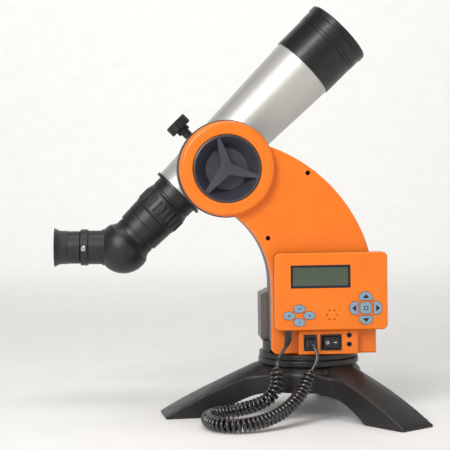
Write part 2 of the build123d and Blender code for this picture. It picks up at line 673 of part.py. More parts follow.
def clamp_knob():
    head = rod(CLAMP_HEAD_RADIUS, CLAMP_HEAD_FROM, CLAMP_HEAD_FROM + CLAMP_HEAD_THICKNESS)
    head = chamfer(head.edges(), 1.0)
    notch = rod(1.9, CLAMP_HEAD_FROM - 1, CLAMP_HEAD_FROM + CLAMP_HEAD_THICKNESS + 1)
    for place in PolarLocations(CLAMP_HEAD_RADIUS + 0.3, CLAMP_LOBES):
        head -= place * notch
    neck = turned(
        [
            (0, SADDLE_RADIUS + 1),
            (CLAMP_NECK_RADIUS, SADDLE_RADIUS + 1),
            (CLAMP_NECK_RADIUS, CLAMP_HEAD_FROM - CLAMP_COLLAR_LENGTH),
            (CLAMP_COLLAR_RADIUS, CLAMP_HEAD_FROM - CLAMP_COLLAR_LENGTH),
            (CLAMP_COLLAR_RADIUS, CLAMP_HEAD_FROM),
            (0, CLAMP_HEAD_FROM),
        ]
    )
    tip = DOVETAIL_WIDTH / 2 + 0.1
    return on_clamp(head + neck + rod(CLAMP_SCREW_RADIUS, tip, SADDLE_RADIUS + 2))


# ======================================================================================================
# Optical tube
# ======================================================================================================


def tube_radius_at(z):
    return TUBE_REAR_RADIUS + (TUBE_FRONT_RADIUS - TUBE_REAR_RADIUS) * z / TUBE_LENGTH


def main_tube():
    return on_tube(
        turned(
            [
                (TUBE_REAR_RADIUS - TUBE_WALL, 0),
                (TUBE_REAR_RADIUS, 0),
                (TUBE_FRONT_RADIUS, TUBE_LENGTH),
                (TUBE_FRONT_RADIUS - TUBE_WALL, TUBE_LENGTH),
            ]
        )
    )


def dovetail_bar():
    """The bar that slides in the saddle, with a cradle hollowed to the tube's taper."""
    rear = hub_along - DOVETAIL_LENGTH / 2
    bar = Pos(0, 0, rear) * extrude(dovetail_section(0), amount=DOVETAIL_LENGTH)
    half = DOVETAIL_WIDTH / 2 - 3
    bar += block(
        (SADDLE_BACK - TUBE_Y - 1, hub_aside - half, rear),
        (-TUBE_REAR_RADIUS / 2, hub_aside + half, rear + DOVETAIL_LENGTH),
    )
    cone = turned([(0, 0), (TUBE_REAR_RADIUS, 0), (TUBE_FRONT_RADIUS, TUBE_LENGTH), (0, TUBE_LENGTH)])
    bar -= cone
    for z in bar_screw_places():
        bar -= Pos(0, hub_aside, z) * Rot(0, 90, 0) * rod(1.7, slot_floor - 1, 0)
        bar -= Pos(0, hub_aside, z) * Rot(0, 90, 0) * rod(3.4, slot_floor - 1, slot_floor + 3)
    return on_tube(bar)


def bar_screw_places():
    return (hub_along - DOVETAIL_LENGTH / 2 + 12, hub_along + DOVETAIL_LENGTH / 2 - 12)


def bar_screws():
    """Two screws from the bar's underside into the tube."""
    screws = []
    for z in bar_screw_places():
        reach = math.sqrt(tube_radius_at(z) ** 2 - hub_aside**2)
        screw = rod(3.3, slot_floor + 0.4, slot_floor + 3) + rod(1.6, slot_floor + 3, -reach - 1.2)
        screws.append(Pos(0, hub_aside, z) * Rot(0, 90, 0) * screw)
    return on_tube(Compound(screws))


def dew_shield():
    low, high = TUBE_LENGTH, TUBE_LENGTH + SHIELD_LENGTH
    groove = high - 3.0
    return on_tube(
        turned(
            [
                (SHIELD_RADIUS - SHIELD_WALL, low),
                (SHIELD_RADIUS, low),
                (SHIELD_RADIUS, groove - 1.0),
                (SHIELD_RADIUS - 0.8, groove - 1.0),
                (SHIELD_RADIUS - 0.8, groove),
                (SHIELD_RADIUS + 0.3, groove),
                (SHIELD_RADIUS + 0.3, high),
                (SHIELD_RADIUS - SHIELD_WALL, high),
            ]
        )
    )


CELL_FRONT = TUBE_LENGTH + 12.0
LENS_SEAT = TUBE_LENGTH - 2.0


def objective_cell():
    """Ring that holds the two lenses, joining the tube to the dew shield."""
    inside_tube = TUBE_FRONT_RADIUS - TUBE_WALL
    inside_shield = SHIELD_RADIUS - SHIELD_WALL
    return on_tube(
        turned(
            [
                (LENS_RADIUS - 2, LENS_SEAT - 3),
                (inside_tube - 0.3, LENS_SEAT - 3),
                (inside_tube - 0.1, TUBE_LENGTH),
                (inside_shield, TUBE_LENGTH),
                (inside_shield, CELL_FRONT + 3),
                (LENS_RADIUS + 0.1, CELL_FRONT + 3),
                (LENS_RADIUS + 0.1, LENS_SEAT),
                (LENS_RADIUS - 2, LENS_SEAT),
            ]
        )
    )


def dome_height(rim, sag, radius):
    """Height above its rim of a spherical face that bows out by sag, at a radius."""
    sphere = (rim**2 + sag**2) / (2 * sag)
    return sag - sphere + math.copysign(math.sqrt(sphere**2 - radius**2), sphere)


def lens(low, thickness, back_sag, front_sag, rim=LENS_RADIUS):
    """A round lens about Z with spherical faces: a positive sag bows outward."""
    high = low + thickness
    back_middle = (rim / 2, low - dome_height(rim, back_sag, rim / 2))
    front_middle = (rim / 2, high + dome_height(rim, front_sag, rim / 2))
    outline = ThreePointArc((rim, low), back_middle, (0, low - back_sag))
    outline += Line((0, low - back_sag), (0, high + front_sag))
    outline += ThreePointArc((0, high + front_sag), front_middle, (rim, high))
    outline += Line((rim, high), (rim, low))
    return revolve(Plane.XZ * make_face(outline), Axis.Z)


def objective_flint():
    return on_tube(lens(LENS_SEAT + FLINT_SAG / 4, FLINT_THICKNESS, FLINT_SAG, -CROWN_SAG))


def objective_crown():
    return on_tube(lens(LENS_SEAT + FLINT_THICKNESS + LENS_GAP, CROWN_THICKNESS, CROWN_SAG, CROWN_SAG))


def objective_retainer():
    inner = LENS_RADIUS - 2
    low = LENS_SEAT + FLINT_THICKNESS + LENS_GAP + CROWN_THICKNESS + dome_height(LENS_RADIUS, CROWN_SAG, inner)
    return on_tube(ring(LENS_RADIUS, inner, low, low + 3))


def dust_cap():
    shield_front = TUBE_LENGTH + SHIELD_LENGTH
    front = shield_front + CAP_LENGTH
    inner = SHIELD_RADIUS - SHIELD_WALL - GAP
    cap = turned(
        [
            (0, front - 2.2),
            (CAP_RADIUS - 4, front - 2.2),
            (CAP_RADIUS - 4, front - 3.4),
            (inner, shield_front),
            (inner, shield_front - CAP_OVERLAP),
            (inner - 1.6, shield_front - CAP_OVERLAP),
            (inner - 1.6, shield_front),
            (CAP_RADIUS - 6, front - 6.0),
            (0, front - 6.0),
        ]
    )
    skirt = turned(
        [
            (inner, shield_front + GAP),
            (CAP_RADIUS - 0.8, shield_front + GAP),
            (CAP_RADIUS - 0.8, front - 8),
            (CAP_RADIUS, front - 7),
            (CAP_RADIUS, front - 1.2),
            (CAP_RADIUS - 1.2, front),
            (CAP_RADIUS - 4, front),
            (CAP_RADIUS - 5, front - 6.0),
            (inner - 1.6, front - 6.0),
        ]
    )
    return on_tube(cap + skirt)


focus_ring_front = -(FLANGE_THICKNESS + FOCUS_BODY_LENGTH + 0.2)
focus_ring_back = focus_ring_front - FOCUS_RING_LENGTH
draw_front = focus_ring_back - 0.2
draw_back = draw_front - DRAW_SLEEVE_LENGTH


def rear_cell():
    """Thin flange on the tube's rear end, the focuser's body and the guide inside the focus ring."""
    body_back = focus_ring_front + 0.2
    groove = body_back + 2.0
    return on_tube(
        turned(
            [
                (DRAW_RADIUS + FIT, 10),
                (TUBE_REAR_RADIUS - TUBE_WALL - 0.05, 10),
                (TUBE_REAR_RADIUS - TUBE_WALL - 0.05, 0),
                (FLANGE_RADIUS, 0),
                (FLANGE_RADIUS, -FLANGE_THICKNESS),
                (FOCUS_BODY_RADIUS, -FLANGE_THICKNESS),
                (FOCUS_BODY_RADIUS, groove + 0.8),
                (FOCUS_BODY_RADIUS - 0.8, groove + 0.8),
                (FOCUS_BODY_RADIUS - 0.8, groove),
                (FOCUS_BODY_RADIUS, groove),
                (FOCUS_BODY_RADIUS, body_back),
                (GUIDE_RADIUS, body_back),
                (GUIDE_RADIUS, focus_ring_back),
                (DRAW_RADIUS + FIT, focus_ring_back),
            ]
        )
    )


def focus_ring():
    """Ribbed ring that turns on the guide, with short ribs round its middle."""
    front, back = focus_ring_front, focus_ring_back
    body = turned(
        [
            (GUIDE_RADIUS + FIT, front),
            (FOCUS_BODY_RADIUS, front),
            (FOCUS_RING_RADIUS, front - 2),
            (FOCUS_RIB_RADIUS, front - 4),
            (FOCUS_RIB_RADIUS, back + 5),
            (FOCUS_RING_RADIUS, back + 2),
            (FOCUS_BODY_RADIUS, back),
            (GUIDE_RADIUS + FIT, back),
        ]
    )
    pitch = 2 * math.pi * FOCUS_RIB_RADIUS / FOCUS_RIBS
    middle = (front + back) / 2
    slot = Pos(FOCUS_RIB_RADIUS + 1, 0, middle) * Box(4.4, pitch * 0.42, FOCUS_RING_LENGTH - 8)
    for place in PolarLocations(0, FOCUS_RIBS):
        body -= place * slot
    return on_tube(body)


def drawtube():
    """Sliding tube of the focuser, with the smooth sleeve that the diagonal sits on."""
    middle = (draw_front + draw_back) / 2
    neck_radius = DIAGONAL_COLLAR_RADIUS - 0.6
    return on_tube(
        turned(
            [
                (DRAW_BORE_RADIUS, 4),
                (DRAW_RADIUS, 4),
                (DRAW_RADIUS, draw_front),
                (DRAW_SLEEVE_FRONT_RADIUS, draw_front),
                (DRAW_SLEEVE_FRONT_RADIUS - 0.4, middle + 0.4),
                (DRAW_SLEEVE_FRONT_RADIUS - 1.0, middle + 0.4),
                (DRAW_SLEEVE_FRONT_RADIUS - 1.0, middle - 0.4),
                (DRAW_SLEEVE_FRONT_RADIUS - 0.5, middle - 0.4),
                (DRAW_SLEEVE_BACK_RADIUS, draw_back),
                (neck_radius, draw_back),
                (neck_radius, draw_back - 1.9),
                (DRAW_BORE_RADIUS, draw_back - 1.9),
            ]
        )
    )


collar_front = draw_back - 2.1
collar_back = collar_front - DIAGONAL_COLLAR_LENGTH


def diagonal_housing():
    """Ball-shaped housing of the 45 degree erecting diagonal, with the collar that turns on the drawtube."""
    centre = -DIAGONAL_FROM_REAR
    ball, hollow = DIAGONAL_BALL_RADIUS, DIAGONAL_BALL_RADIUS - DIAGONAL_BALL_WALL
    brow = ball - 1.0  # radius where the shoulder runs into the ball
    brow_height = centre + math.sqrt(ball**2 - brow**2)
    mouth_height = centre + math.sqrt(hollow**2 - DRAW_BORE_RADIUS**2)
    outline = ThreePointArc((0, centre - ball), (ball, centre), (brow, brow_height))
    outline += Polyline(
        (brow, brow_height),
        (DIAGONAL_COLLAR_RADIUS + 1.8, collar_back - 5),
        (DIAGONAL_COLLAR_RADIUS - 0.4, collar_back - 0.6),
        (DIAGONAL_COLLAR_RADIUS, collar_back - 0.6),
        (DIAGONAL_COLLAR_RADIUS, collar_front),
        (DRAW_BORE_RADIUS, collar_front),
        (DRAW_BORE_RADIUS, mouth_height),
    )
    outline += ThreePointArc((DRAW_BORE_RADIUS, mouth_height), (hollow, centre), (0, centre - hollow))
    outline += Line((0, centre - hollow), (0, centre - ball))
    body = on_tube(revolve(Plane.XZ * make_face(outline), Axis.Z))
    body += on_eye(rod(HOLDER_RADIUS + 1.2, HOLDER_FROM - 6, HOLDER_FROM))
    return body - on_eye(rod(EYEPIECE_BARREL_RADIUS + EYEPIECE_FIT, HOLDER_FROM - 10, DIAGONAL_BALL_RADIUS + 1))


def diagonal_prism():
    """Prism that bends the light by 45 degrees, as one block across the ball."""
    half = PRISM_SIDE / 2
    section = make_face(
        Polyline((-half, -half * 0.7), (half, -half * 0.7), (half, half * 0.5), (half * 0.3, half), (-half, half), close=True)
    )
    prism = extrude(Plane.XZ * section, amount=PRISM_SIDE / 2 - 3, both=True)
    return Pos(*ball_centre) * Rot(0, DIAGONAL_BEND / 2, 0) * prism


def eyepiece_holder():
    """Outlet tube on the ball, with the collar that carries the set screw."""
    bore = EYEPIECE_BARREL_RADIUS + EYEPIECE_FIT
    holder = turned(
        [
            (bore, HOLDER_FROM),
            (HOLDER_RADIUS, HOLDER_FROM),
            (HOLDER_RADIUS, HOLDER_COLLAR_FROM),
            (HOLDER_COLLAR_RADIUS, HOLDER_COLLAR_FROM + 0.5),
            (HOLDER_COLLAR_RADIUS, HOLDER_END - 0.5),
            (HOLDER_RADIUS, HOLDER_END),
            (bore, HOLDER_END),
        ]
    )
    way = Pos(0, 0, SET_SCREW_FROM) * Rot(0, 90, 0) * rod(SET_SCREW_RADIUS + FIT, 0, HOLDER_COLLAR_RADIUS + 5)
    return on_eye(holder - way)


def set_screw():
    head_from = HOLDER_COLLAR_RADIUS + 0.3
    shank = rod(SET_SCREW_RADIUS, EYEPIECE_BARREL_RADIUS + EYEPIECE_FIT + 0.1, head_from)
    head = turned(
        [
            (0, head_from),
            (SET_SCREW_HEAD_RADIUS * 0.7, head_from),
            (SET_SCREW_HEAD_RADIUS, head_from + 1.0),
            (SET_SCREW_HEAD_RADIUS, head_from + SET_SCREW_HEAD_HEIGHT - 1.2),
            (SET_SCREW_HEAD_RADIUS * 0.6, head_from + SET_SCREW_HEAD_HEIGHT),
            (0, head_from + SET_SCREW_HEAD_HEIGHT),
        ]
    )
    return on_eye(Pos(0, 0, SET_SCREW_FROM) * Rot(0, 90, 0) * (shank + head))


eyepiece_shoulder = HOLDER_END + 0.2
eyepiece_end = eyepiece_shoulder + EYEPIECE_BODY_LENGTH


def eyepiece_body():
    """Eyepiece: the barrel in the holder and the wider body outside it."""
    return on_eye(
        turned(
            [
                (EYEPIECE_BORE_RADIUS, eyepiece_shoulder - EYEPIECE_BARREL_LENGTH),
                (EYEPIECE_BARREL_RADIUS, eyepiece_shoulder - EYEPIECE_BARREL_LENGTH),
                (EYEPIECE_BARREL_RADIUS, eyepiece_shoulder),
                (EYEPIECE_BODY_RADIUS - 0.5, eyepiece_shoulder),
                (EYEPIECE_BODY_RADIUS, eyepiece_shoulder + 0.5),
                (EYEPIECE_BODY_RADIUS, eyepiece_end),
                (EYEPIECE_BORE_RADIUS, eyepiece_end),
            ]
        )
    )


def eyepiece_lens():
    low = eyepiece_end - 7
    return on_eye(lens(low, 3, 0.8, 1.8, EYEPIECE_BORE_RADIUS))


def eyecup():
    """Soft rubber cup that flares to its rim."""
    base_end = eyepiece_end + EYECUP_BASE_LENGTH
    rim = eyepiece_end + EYECUP_LENGTH
    inner = EYEPIECE_BORE_RADIUS
    return on_eye(
        turned(
            [
                (inner, eyepiece_end),
                (EYECUP_BASE_RADIUS, eyepiece_end),
                (EYECUP_BASE_RADIUS, base_end),
                (EYECUP_BASE_RADIUS + 0.6, base_end + 3),
                (EYECUP_RIM_RADIUS, rim),
                (EYECUP_RIM_RADIUS - EYECUP_WALL, rim),
                (EYECUP_BASE_RADIUS - EYECUP_WALL, base_end + 3),
                (EYECUP_BASE_RADIUS - EYECUP_WALL - 0.4, base_end),
                (inner, base_end - 2),
            ]
        )
    )


# ======================================================================================================
# Hand controller
# ======================================================================================================

panel_middle = ((PANEL_LEFT + PANEL_RIGHT) / 2, (PANEL_BOTTOM + PANEL_TOP) / 2)
panel_size = (PANEL_RIGHT - PANEL_LEFT, PANEL_TOP - PANEL_BOTTOM)


def panel_outline(inset=0.0):
    return Pos(*panel_middle) * RectangleRounded(
        panel_size[0] - 2 * inset, panel_size[1] - 2 * inset, PANEL_CORNER - inset
    )


def oval_key_outline(spare=0.0):
    return Ellipse(OVAL_KEY_SIZE[0] / 2 + spare, OVAL_KEY_SIZE[1] / 2 + spare)


def arrow_key_outline(spare=0.0):
    """A half-moon key that points along +X from the pad's centre."""
    near, far = PAD_KEY_FROM - spare, PAD_KEY_FROM + PAD_KEY_DEPTH + spare
    half = PAD_KEY_WIDTH / 2 + spare
    shape = patch(near, -half, far, half)
    outer = shape.vertices().group_by(Axis.X)[-1]
    shape = fillet(outer, half * 0.97)
    return fillet(shape.vertices().group_by(Axis.X)[0], 1.0)


def select_key_outline(spare=0.0):
    side = SELECT_KEY_SIDE + 2 * spare
    return RectangleRounded(side, side, 2.6)


def key_outlines(spare=0.0):
    """Every key's name and its outline in X and Z."""
    x, z = KEY_CLUSTER
    dx, dz = KEY_CLUSTER_STEP
    pad = Pos(*PAD_CENTRE)
    return {
        "key_top": Pos(x, z + dz) * oval_key_outline(spare),
        "key_left": Pos(x - dx, z) * oval_key_outline(spare),
        "key_right": Pos(x + dx, z) * oval_key_outline(spare),
        "key_bottom": Pos(x, z - dz) * oval_key_outline(spare),
        "arrow_right": pad * arrow_key_outline(spare),
        "arrow_up": pad * Rot(0, 0, 90) * arrow_key_outline(spare),
        "arrow_left": pad * Rot(0, 0, 180) * arrow_key_outline(spare),
        "arrow_down": pad * Rot(0, 0, 270) * arrow_key_outline(spare),
        "select_key": pad * select_key_outline(spare),
    }


def key(outline):
    front = PANEL_FRONT - KEY_PROUD
    cap = slab(outline, front, front + KEY_DEPTH)
    return fillet(cap.faces().sort_by(Axis.Y)[0].edges(), 0.6)


def controller_front():
    shell = slab(panel_outline(), PANEL_FRONT, PANEL_SPLIT)
    shell = fillet(shell.faces().sort_by(Axis.Y)[0].edges(), PANEL_EDGE_ROUND)
    shell -= slab(panel_outline(PANEL_WALL), PANEL_FRONT + PANEL_WALL, PANEL_SPLIT + 1)
    window = Pos(*SCREEN_CENTRE) * Rectangle(*SCREEN_SIZE)
    shell -= slab(window, PANEL_FRONT - 1, PANEL_FRONT + PANEL_WALL + 1)
    for outline in key_outlines(KEY_GAP).values():
        shell -= slab(outline, PANEL_FRONT - 1, PANEL_FRONT + PANEL_WALL + 1)
    hole = Circle(SPEAKER_HOLE_RADIUS)
    for place in PolarLocations(SPEAKER_RING, SPEAKER_HOLES):
        shell -= slab(Pos(*SPEAKER_CENTRE) * place * hole, PANEL_FRONT - 1, PANEL_FRONT + PANEL_WALL + 1)
    return shell - relief_seat()


def relief_seat():
    """The half-round seat in the controller's lower wall that grips the strain relief."""
    x, y, z = relief_top
    return Pos(x, y, 0) * rod(RELIEF_TOP_RADIUS, PANEL_BOTTOM - 1, z)


def controller_back():
    shell = slab(panel_outline(), PANEL_SPLIT, PANEL_BACK)
    shell = fillet(shell.faces().sort_by(Axis.Y)[-1].edges(), 1.5)
    shell -= slab(panel_outline(PANEL_WALL), PANEL_SPLIT - 1, PANEL_BACK - PANEL_WALL)
    for x, z in DOCK_POSTS:
        shell += along_y(x, z, rod(DOCK_POST_RADIUS, PANEL_BACK - 1, COVER_FRONT + DOCK_POST_LENGTH))
    return shell


def lcd_window():
    window = Pos(*SCREEN_CENTRE) * Rectangle(*SCREEN_SIZE)
    return slab(window, PANEL_FRONT + 0.8, PANEL_FRONT + 2.0)


def lcd_module():
    frame = Pos(*SCREEN_CENTRE) * Rectangle(SCREEN_SIZE[0] + 6, SCREEN_SIZE[1] + 4)
    return slab(frame, PANEL_FRONT + PANEL_WALL, PANEL_FRONT + PANEL_WALL + 4)


relief_top = (-25.5, -50.0, PANEL_BOTTOM + PANEL_WALL)
relief_tip = LEAD_OUT[0]


def strain_relief():
    """Rubber sleeve that the cord leaves the controller through, straight and then tapered."""
    x, y, z = relief_top
    straight_end = PANEL_BOTTOM - RELIEF_STRAIGHT
    top = Plane(origin=(x, y, straight_end), z_dir=(0, 0, -1)) * Circle(RELIEF_TOP_RADIUS)
    heading = Vector(*LEAD_OUT[1]) - Vector(*LEAD_OUT[0])
    low = Plane(origin=relief_tip, z_dir=heading) * Circle(RELIEF_TIP_RADIUS)
    return loft([top, low]) + Pos(x, y, 0) * rod(RELIEF_TOP_RADIUS, straight_end, z)


# ======================================================================================================
# Connectors
# ======================================================================================================


def connector_housing():
    outline = patch(HOUSING_LEFT, HOUSING_BOTTOM, HOUSING_RIGHT, HOUSING_TOP)
    housing = slab(outline, HOUSING_FRONT, COVER_FRONT)
    housing = fillet(housing.faces().sort_by(Axis.Y)[0].edges(), 1.2)
    inner = patch(HOUSING_LEFT + 2, HOUSING_BOTTOM + 2, HOUSING_RIGHT - 2, HOUSING_TOP - 2)
    housing -= slab(inner, HOUSING_FRONT + 2, COVER_FRONT + 1)
    housing -= slab(Pos(*JACK_CENTRE) * Rectangle(*JACK_SIZE), HOUSING_FRONT - 1, COVER_FRONT)
    housing -= slab(Pos(*SWITCH_CENTRE) * Rectangle(*SWITCH_SIZE), HOUSING_FRONT - 1, COVER_FRONT)
    for x, z in SOCKET_PLACES:
        housing -= along_y(x, z, rod(SOCKET_RADIUS, HOUSING_FRONT - 1, HOUSING_FRONT + 3))
    return housing


def modular_jack():
    body = slab(Pos(*JACK_CENTRE) * Rectangle(*JACK_SIZE), HOUSING_FRONT - 0.4, HOUSING_FRONT + JACK_DEPTH)
    mouth = Pos(*JACK_CENTRE) * Rectangle(PLUG_SIZE[0] + 2 * PLUG_GAP, PLUG_SIZE[1] + 2 * PLUG_GAP)
    return body - slab(mouth, HOUSING_FRONT - 1, HOUSING_FRONT + PLUG_LENGTH + 1)


def modular_plug():
    return slab(
        Pos(*JACK_CENTRE) * Rectangle(*PLUG_SIZE), LEAD_IN[-1][1], HOUSING_FRONT + PLUG_LENGTH
    )


def switch_bezel():
    body = slab(Pos(*SWITCH_CENTRE) * Rectangle(*SWITCH_SIZE), HOUSING_FRONT - 1.0, HOUSING_FRONT + SWITCH_DEPTH)
    mouth = Pos(*SWITCH_CENTRE) * Rectangle(ROCKER_SIZE[0] + 2 * GAP, ROCKER_SIZE[1] + 2 * GAP)
    return body - slab(mouth, HOUSING_FRONT - 2, HOUSING_FRONT + 8)


rocker_pivot = (SWITCH_CENTRE[0], HOUSING_FRONT + 1.0)


def rocker():
    """Two-faced rocker, pressed in on its right side."""
    half = ROCKER_SIZE[0] / 2 - 0.3
    drop = half * math.tan(math.radians(ROCKER_TILT))
    face = -2.6
    section = make_face(
        Polyline(
            (-half, face - drop / 2),
            (0, face + drop / 2),
            (half, face - drop / 2),
            (half - 1.5, 4.0),
            (0, 5.4),
            (-half + 1.5, 4.0),
            close=True,
        )
    )
    height = ROCKER_SIZE[1]
    body = extrude(section, amount=height / 2, both=True)
    return Pos(rocker_pivot[0], rocker_pivot[1], SWITCH_CENTRE[1]) * Rot(0, 0, ROCKER_TILT) * body


def round_sockets():
    nose = rod(SOCKET_RADIUS, HOUSING_FRONT - 0.2, HOUSING_FRONT + 2)
    body = rod(SOCKET_BODY_RADIUS, HOUSING_FRONT + 2, HOUSING_FRONT + SOCKET_DEPTH)
    socket = nose + body - rod(SOCKET_BORE_RADIUS, HOUSING_FRONT - 1, HOUSING_FRONT + SOCKET_DEPTH - 2)
    return Compound([along_y(x, z, socket) for x, z in SOCKET_PLACES])


# ======================================================================================================
# Curly cord
# ======================================================================================================


def route_radii(points):
    """The arc at each inner point: 0.45 of its shorter run, over the tangent of half the turn."""
    radii = []
    for before, here, after in zip(points, points[1:], points[2:]):
        run_in = Vector(*here) - Vector(*before)
        run_out = Vector(*after) - Vector(*here)
        turn = math.radians(run_in.get_angle(run_out))
        radii.append(0.45 * min(run_in.length, run_out.length) / math.tan(turn / 2))
    return radii


def cord_tube(name, points, diameter):
    """A round tube along the route. Prints its radii, and its volume against section times length."""
    radii = route_radii(points)
    path = FilletPolyline(*points, radius=radii)
    start = Plane(origin=points[0], z_dir=Vector(*points[1]) - Vector(*points[0]))
    tube = sweep(start * Circle(diameter / 2), path=path)
    expected = math.pi * diameter**2 / 4 * path.length
    print(name, "length", round(path.length, 1), "radii", [round(r, 1) for r in radii])
    print(name, "volume over section times length", round(tube.volume / expected, 4))
    return tube


save("tripod_base", tripod_base())
save("base_ring", base_ring())
save("tripod_bolt", tripod_bolt())
save("turntable", turntable())
save("arm_front_cover", arm_front_cover())
save("arm_rear_shell", arm_rear_shell())
save("shell_screws", shell_screws())
save("azimuth_motor", azimuth_motor())
save("altitude_motor", altitude_motor())
save("main_board", main_board())
save("battery_box", battery_box())
save("battery_door", battery_door())
save("battery_cells", battery_cells())
save("connector_housing", connector_housing())
save("modular_jack", modular_jack())
save("switch_bezel", switch_bezel())
save("rocker", rocker())
save("round_sockets", round_sockets())
save("clutch_knob", clutch_knob())
save("altitude_shaft", altitude_shaft())
save("altitude_gear", altitude_gear())
save("saddle", saddle())
save("clamp_knob", clamp_knob())
save("dovetail_bar", dovetail_bar())
save("bar_screws", bar_screws())
save("main_tube", main_tube())
save("dew_shield", dew_shield())
save("objective_cell", objective_cell())
save("objective_flint", objective_flint())
save("objective_crown", objective_crown())
save("objective_retainer", objective_retainer())
save("dust_cap", dust_cap())
save("rear_cell", rear_cell())
save("focus_ring", focus_ring())
save("drawtube", drawtube())
save("diagonal_housing", diagonal_housing())
save("diagonal_prism", diagonal_prism())
save("eyepiece_holder", eyepiece_holder())
save("set_screw", set_screw())
save("eyepiece_body", eyepiece_body())
save("eyepiece_lens", eyepiece_lens())
save("eyecup", eyecup())
save("controller_front", controller_front())
save("controller_back", controller_back())
save("lcd_window", lcd_window())
save("lcd_module", lcd_module())
save("strain_relief", strain_relief())
for key_name, key_outline in key_outlines().items():
    save(key_name, key(key_outline))
save("cord_lead_out", cord_tube("cord_lead_out", LEAD_OUT, LEAD_DIAMETER))
save("cord_coil", cord_tube("cord_coil", COIL_ROUTE, COIL_DIAMETER))
save("cord_lead_in", cord_tube("cord_lead_in", LEAD_IN, LEAD_DIAMETER))
save("modular_plug", modular_plug())
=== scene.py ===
# %% [markdown]
# # A small refractor telescope on a curved arm
# The frame comes first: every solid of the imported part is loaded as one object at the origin, with its
# place in its mesh. Pieces made below are in metres in the same frame. +Z is up, the azimuth axis is
# the Z axis, the floor is z = 0, and the face with the hand controller looks toward -Y.

# %% Load the frame
import json
import math

import bmesh
import bpy
from mathutils import Matrix, Vector


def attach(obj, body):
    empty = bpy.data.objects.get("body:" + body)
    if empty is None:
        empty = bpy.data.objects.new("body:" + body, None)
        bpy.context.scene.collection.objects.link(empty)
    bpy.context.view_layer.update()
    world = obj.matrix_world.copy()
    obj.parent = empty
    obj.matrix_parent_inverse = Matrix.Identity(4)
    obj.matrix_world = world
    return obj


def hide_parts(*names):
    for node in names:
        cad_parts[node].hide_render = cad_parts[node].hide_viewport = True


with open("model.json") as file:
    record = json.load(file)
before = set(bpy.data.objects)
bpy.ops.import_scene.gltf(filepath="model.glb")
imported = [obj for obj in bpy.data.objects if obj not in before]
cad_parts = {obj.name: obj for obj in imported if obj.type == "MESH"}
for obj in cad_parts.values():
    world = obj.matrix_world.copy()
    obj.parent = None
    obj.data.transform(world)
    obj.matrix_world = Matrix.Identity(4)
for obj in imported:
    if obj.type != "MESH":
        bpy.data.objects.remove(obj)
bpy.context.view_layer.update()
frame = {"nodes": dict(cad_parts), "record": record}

MM = 0.001
nodes = frame["nodes"]

# %% [markdown]
# ## Camera
# The camera stands a little above the arm's middle and looks slightly down, turned a few degrees to
# the object's right, from 1.34 m away through a long lens. A long lens keeps the tube's sides nearly
# parallel. The three angles give the camera's own axes, and the aim point says what is in the middle.

# %% Camera
HEADING = math.radians(3.71)
PITCH = math.radians(2.04)
ROLL = math.radians(-0.72)
AIM = Vector((-0.0816, 0.0048, 0.1871))
DISTANCE = 1.3398
SENSOR = 36.0
VIEW_WIDTH = 0.450  # what the frame spans at the aim point, in metres

forward = Vector(
    (math.sin(HEADING) * math.cos(PITCH), math.cos(HEADING) * math.cos(PITCH), -math.sin(PITCH))
)
level = Vector((math.cos(HEADING), -math.sin(HEADING), 0.0))
upright = level.cross(forward)
right = level * math.cos(ROLL) + upright * math.sin(ROLL)
up = upright * math.cos(ROLL) - level * math.sin(ROLL)
camera_data = bpy.data.cameras.new("camera")
camera_data.sensor_width = SENSOR
camera_data.lens = SENSOR * DISTANCE / VIEW_WIDTH
camera_data.clip_end = 20.0
camera = bpy.data.objects.new("camera", camera_data)
turn = Matrix((right, up, -forward)).transposed().to_4x4()
camera.matrix_world = Matrix.Translation(AIM - forward * DISTANCE) @ turn
bpy.context.scene.collection.objects.link(camera)
bpy.context.scene.camera = camera
print("camera lens", round(camera_data.lens, 1), "mm")

# %% [markdown]
# ## Helpers for finishes
# Colours are written as sRGB hex and turned to linear once, here. `add` puts one node in a tree with
# its settings and inputs, and every finish below is built with it. Patterns are in Object coordinates,
# which are metres on these pieces, so a scale of 1000 / size gives a pattern of that size in mm.

# %% Node and colour helpers


def linear(code, alpha=1.0):
    """An sRGB hex colour as the linear RGBA that a shader wants."""
    channels = [int(code[i : i + 2], 16) / 255 for i in (1, 3, 5)]
    return [c / 12.92 if c <= 0.04045 else ((c + 0.055) / 1.055) ** 2.4 for c in channels] + [alpha]


def add(tree, kind, settings=None, inputs=None):
    """Adds one node. An input is a number, a colour or another node's output."""
    made = tree.nodes.new(kind)
    for name, value in (settings or {}).items():
        setattr(made, name, value)
    for name, value in (inputs or {}).items():
        if isinstance(value, bpy.types.NodeSocket):
            tree.links.new(value, made.inputs[name])
        else:
            made.inputs[name].default_value = value
    return made


def per_mm(size):
    """Texture scale whose features are about size mm apart, on coordinates in metres."""
    return 1000.0 / size


def new_finish(name, shader_inputs):
    """A material with one Principled shader. Returns the material, its tree, the shader and coordinates."""
    made = bpy.data.materials.new(name)
    made.use_nodes = True
    tree = made.node_tree
    tree.nodes.clear()
    shader = add(tree, "ShaderNodeBsdfPrincipled", None, shader_inputs)
    add(tree, "ShaderNodeOutputMaterial", None, {"Surface": shader.outputs["BSDF"]})
    place = add(tree, "ShaderNodeTexCoord").outputs["Object"]
    return made, tree, shader, place


def noise(tree, place, size, detail=2.0, roughness=0.5):
    """Value noise with features about size mm across."""
    settings = {"noise_dimensions": "3D"}
    inputs = {"Vector": place, "Scale": per_mm(size), "Detail": detail, "Roughness": roughness}
    return add(tree, "ShaderNodeTexNoise", settings, inputs).outputs["Fac"]


def spread(tree, value, low, high, centre=0.5, reach=0.2):
    """Stretches a noise value round its centre to the range low to high."""
    inputs = {"Value": value, "From Min": centre - reach, "From Max": centre + reach}
    inputs.update({"To Min": low, "To Max": high})
    return add(tree, "ShaderNodeMapRange", None, inputs).outputs["Result"]


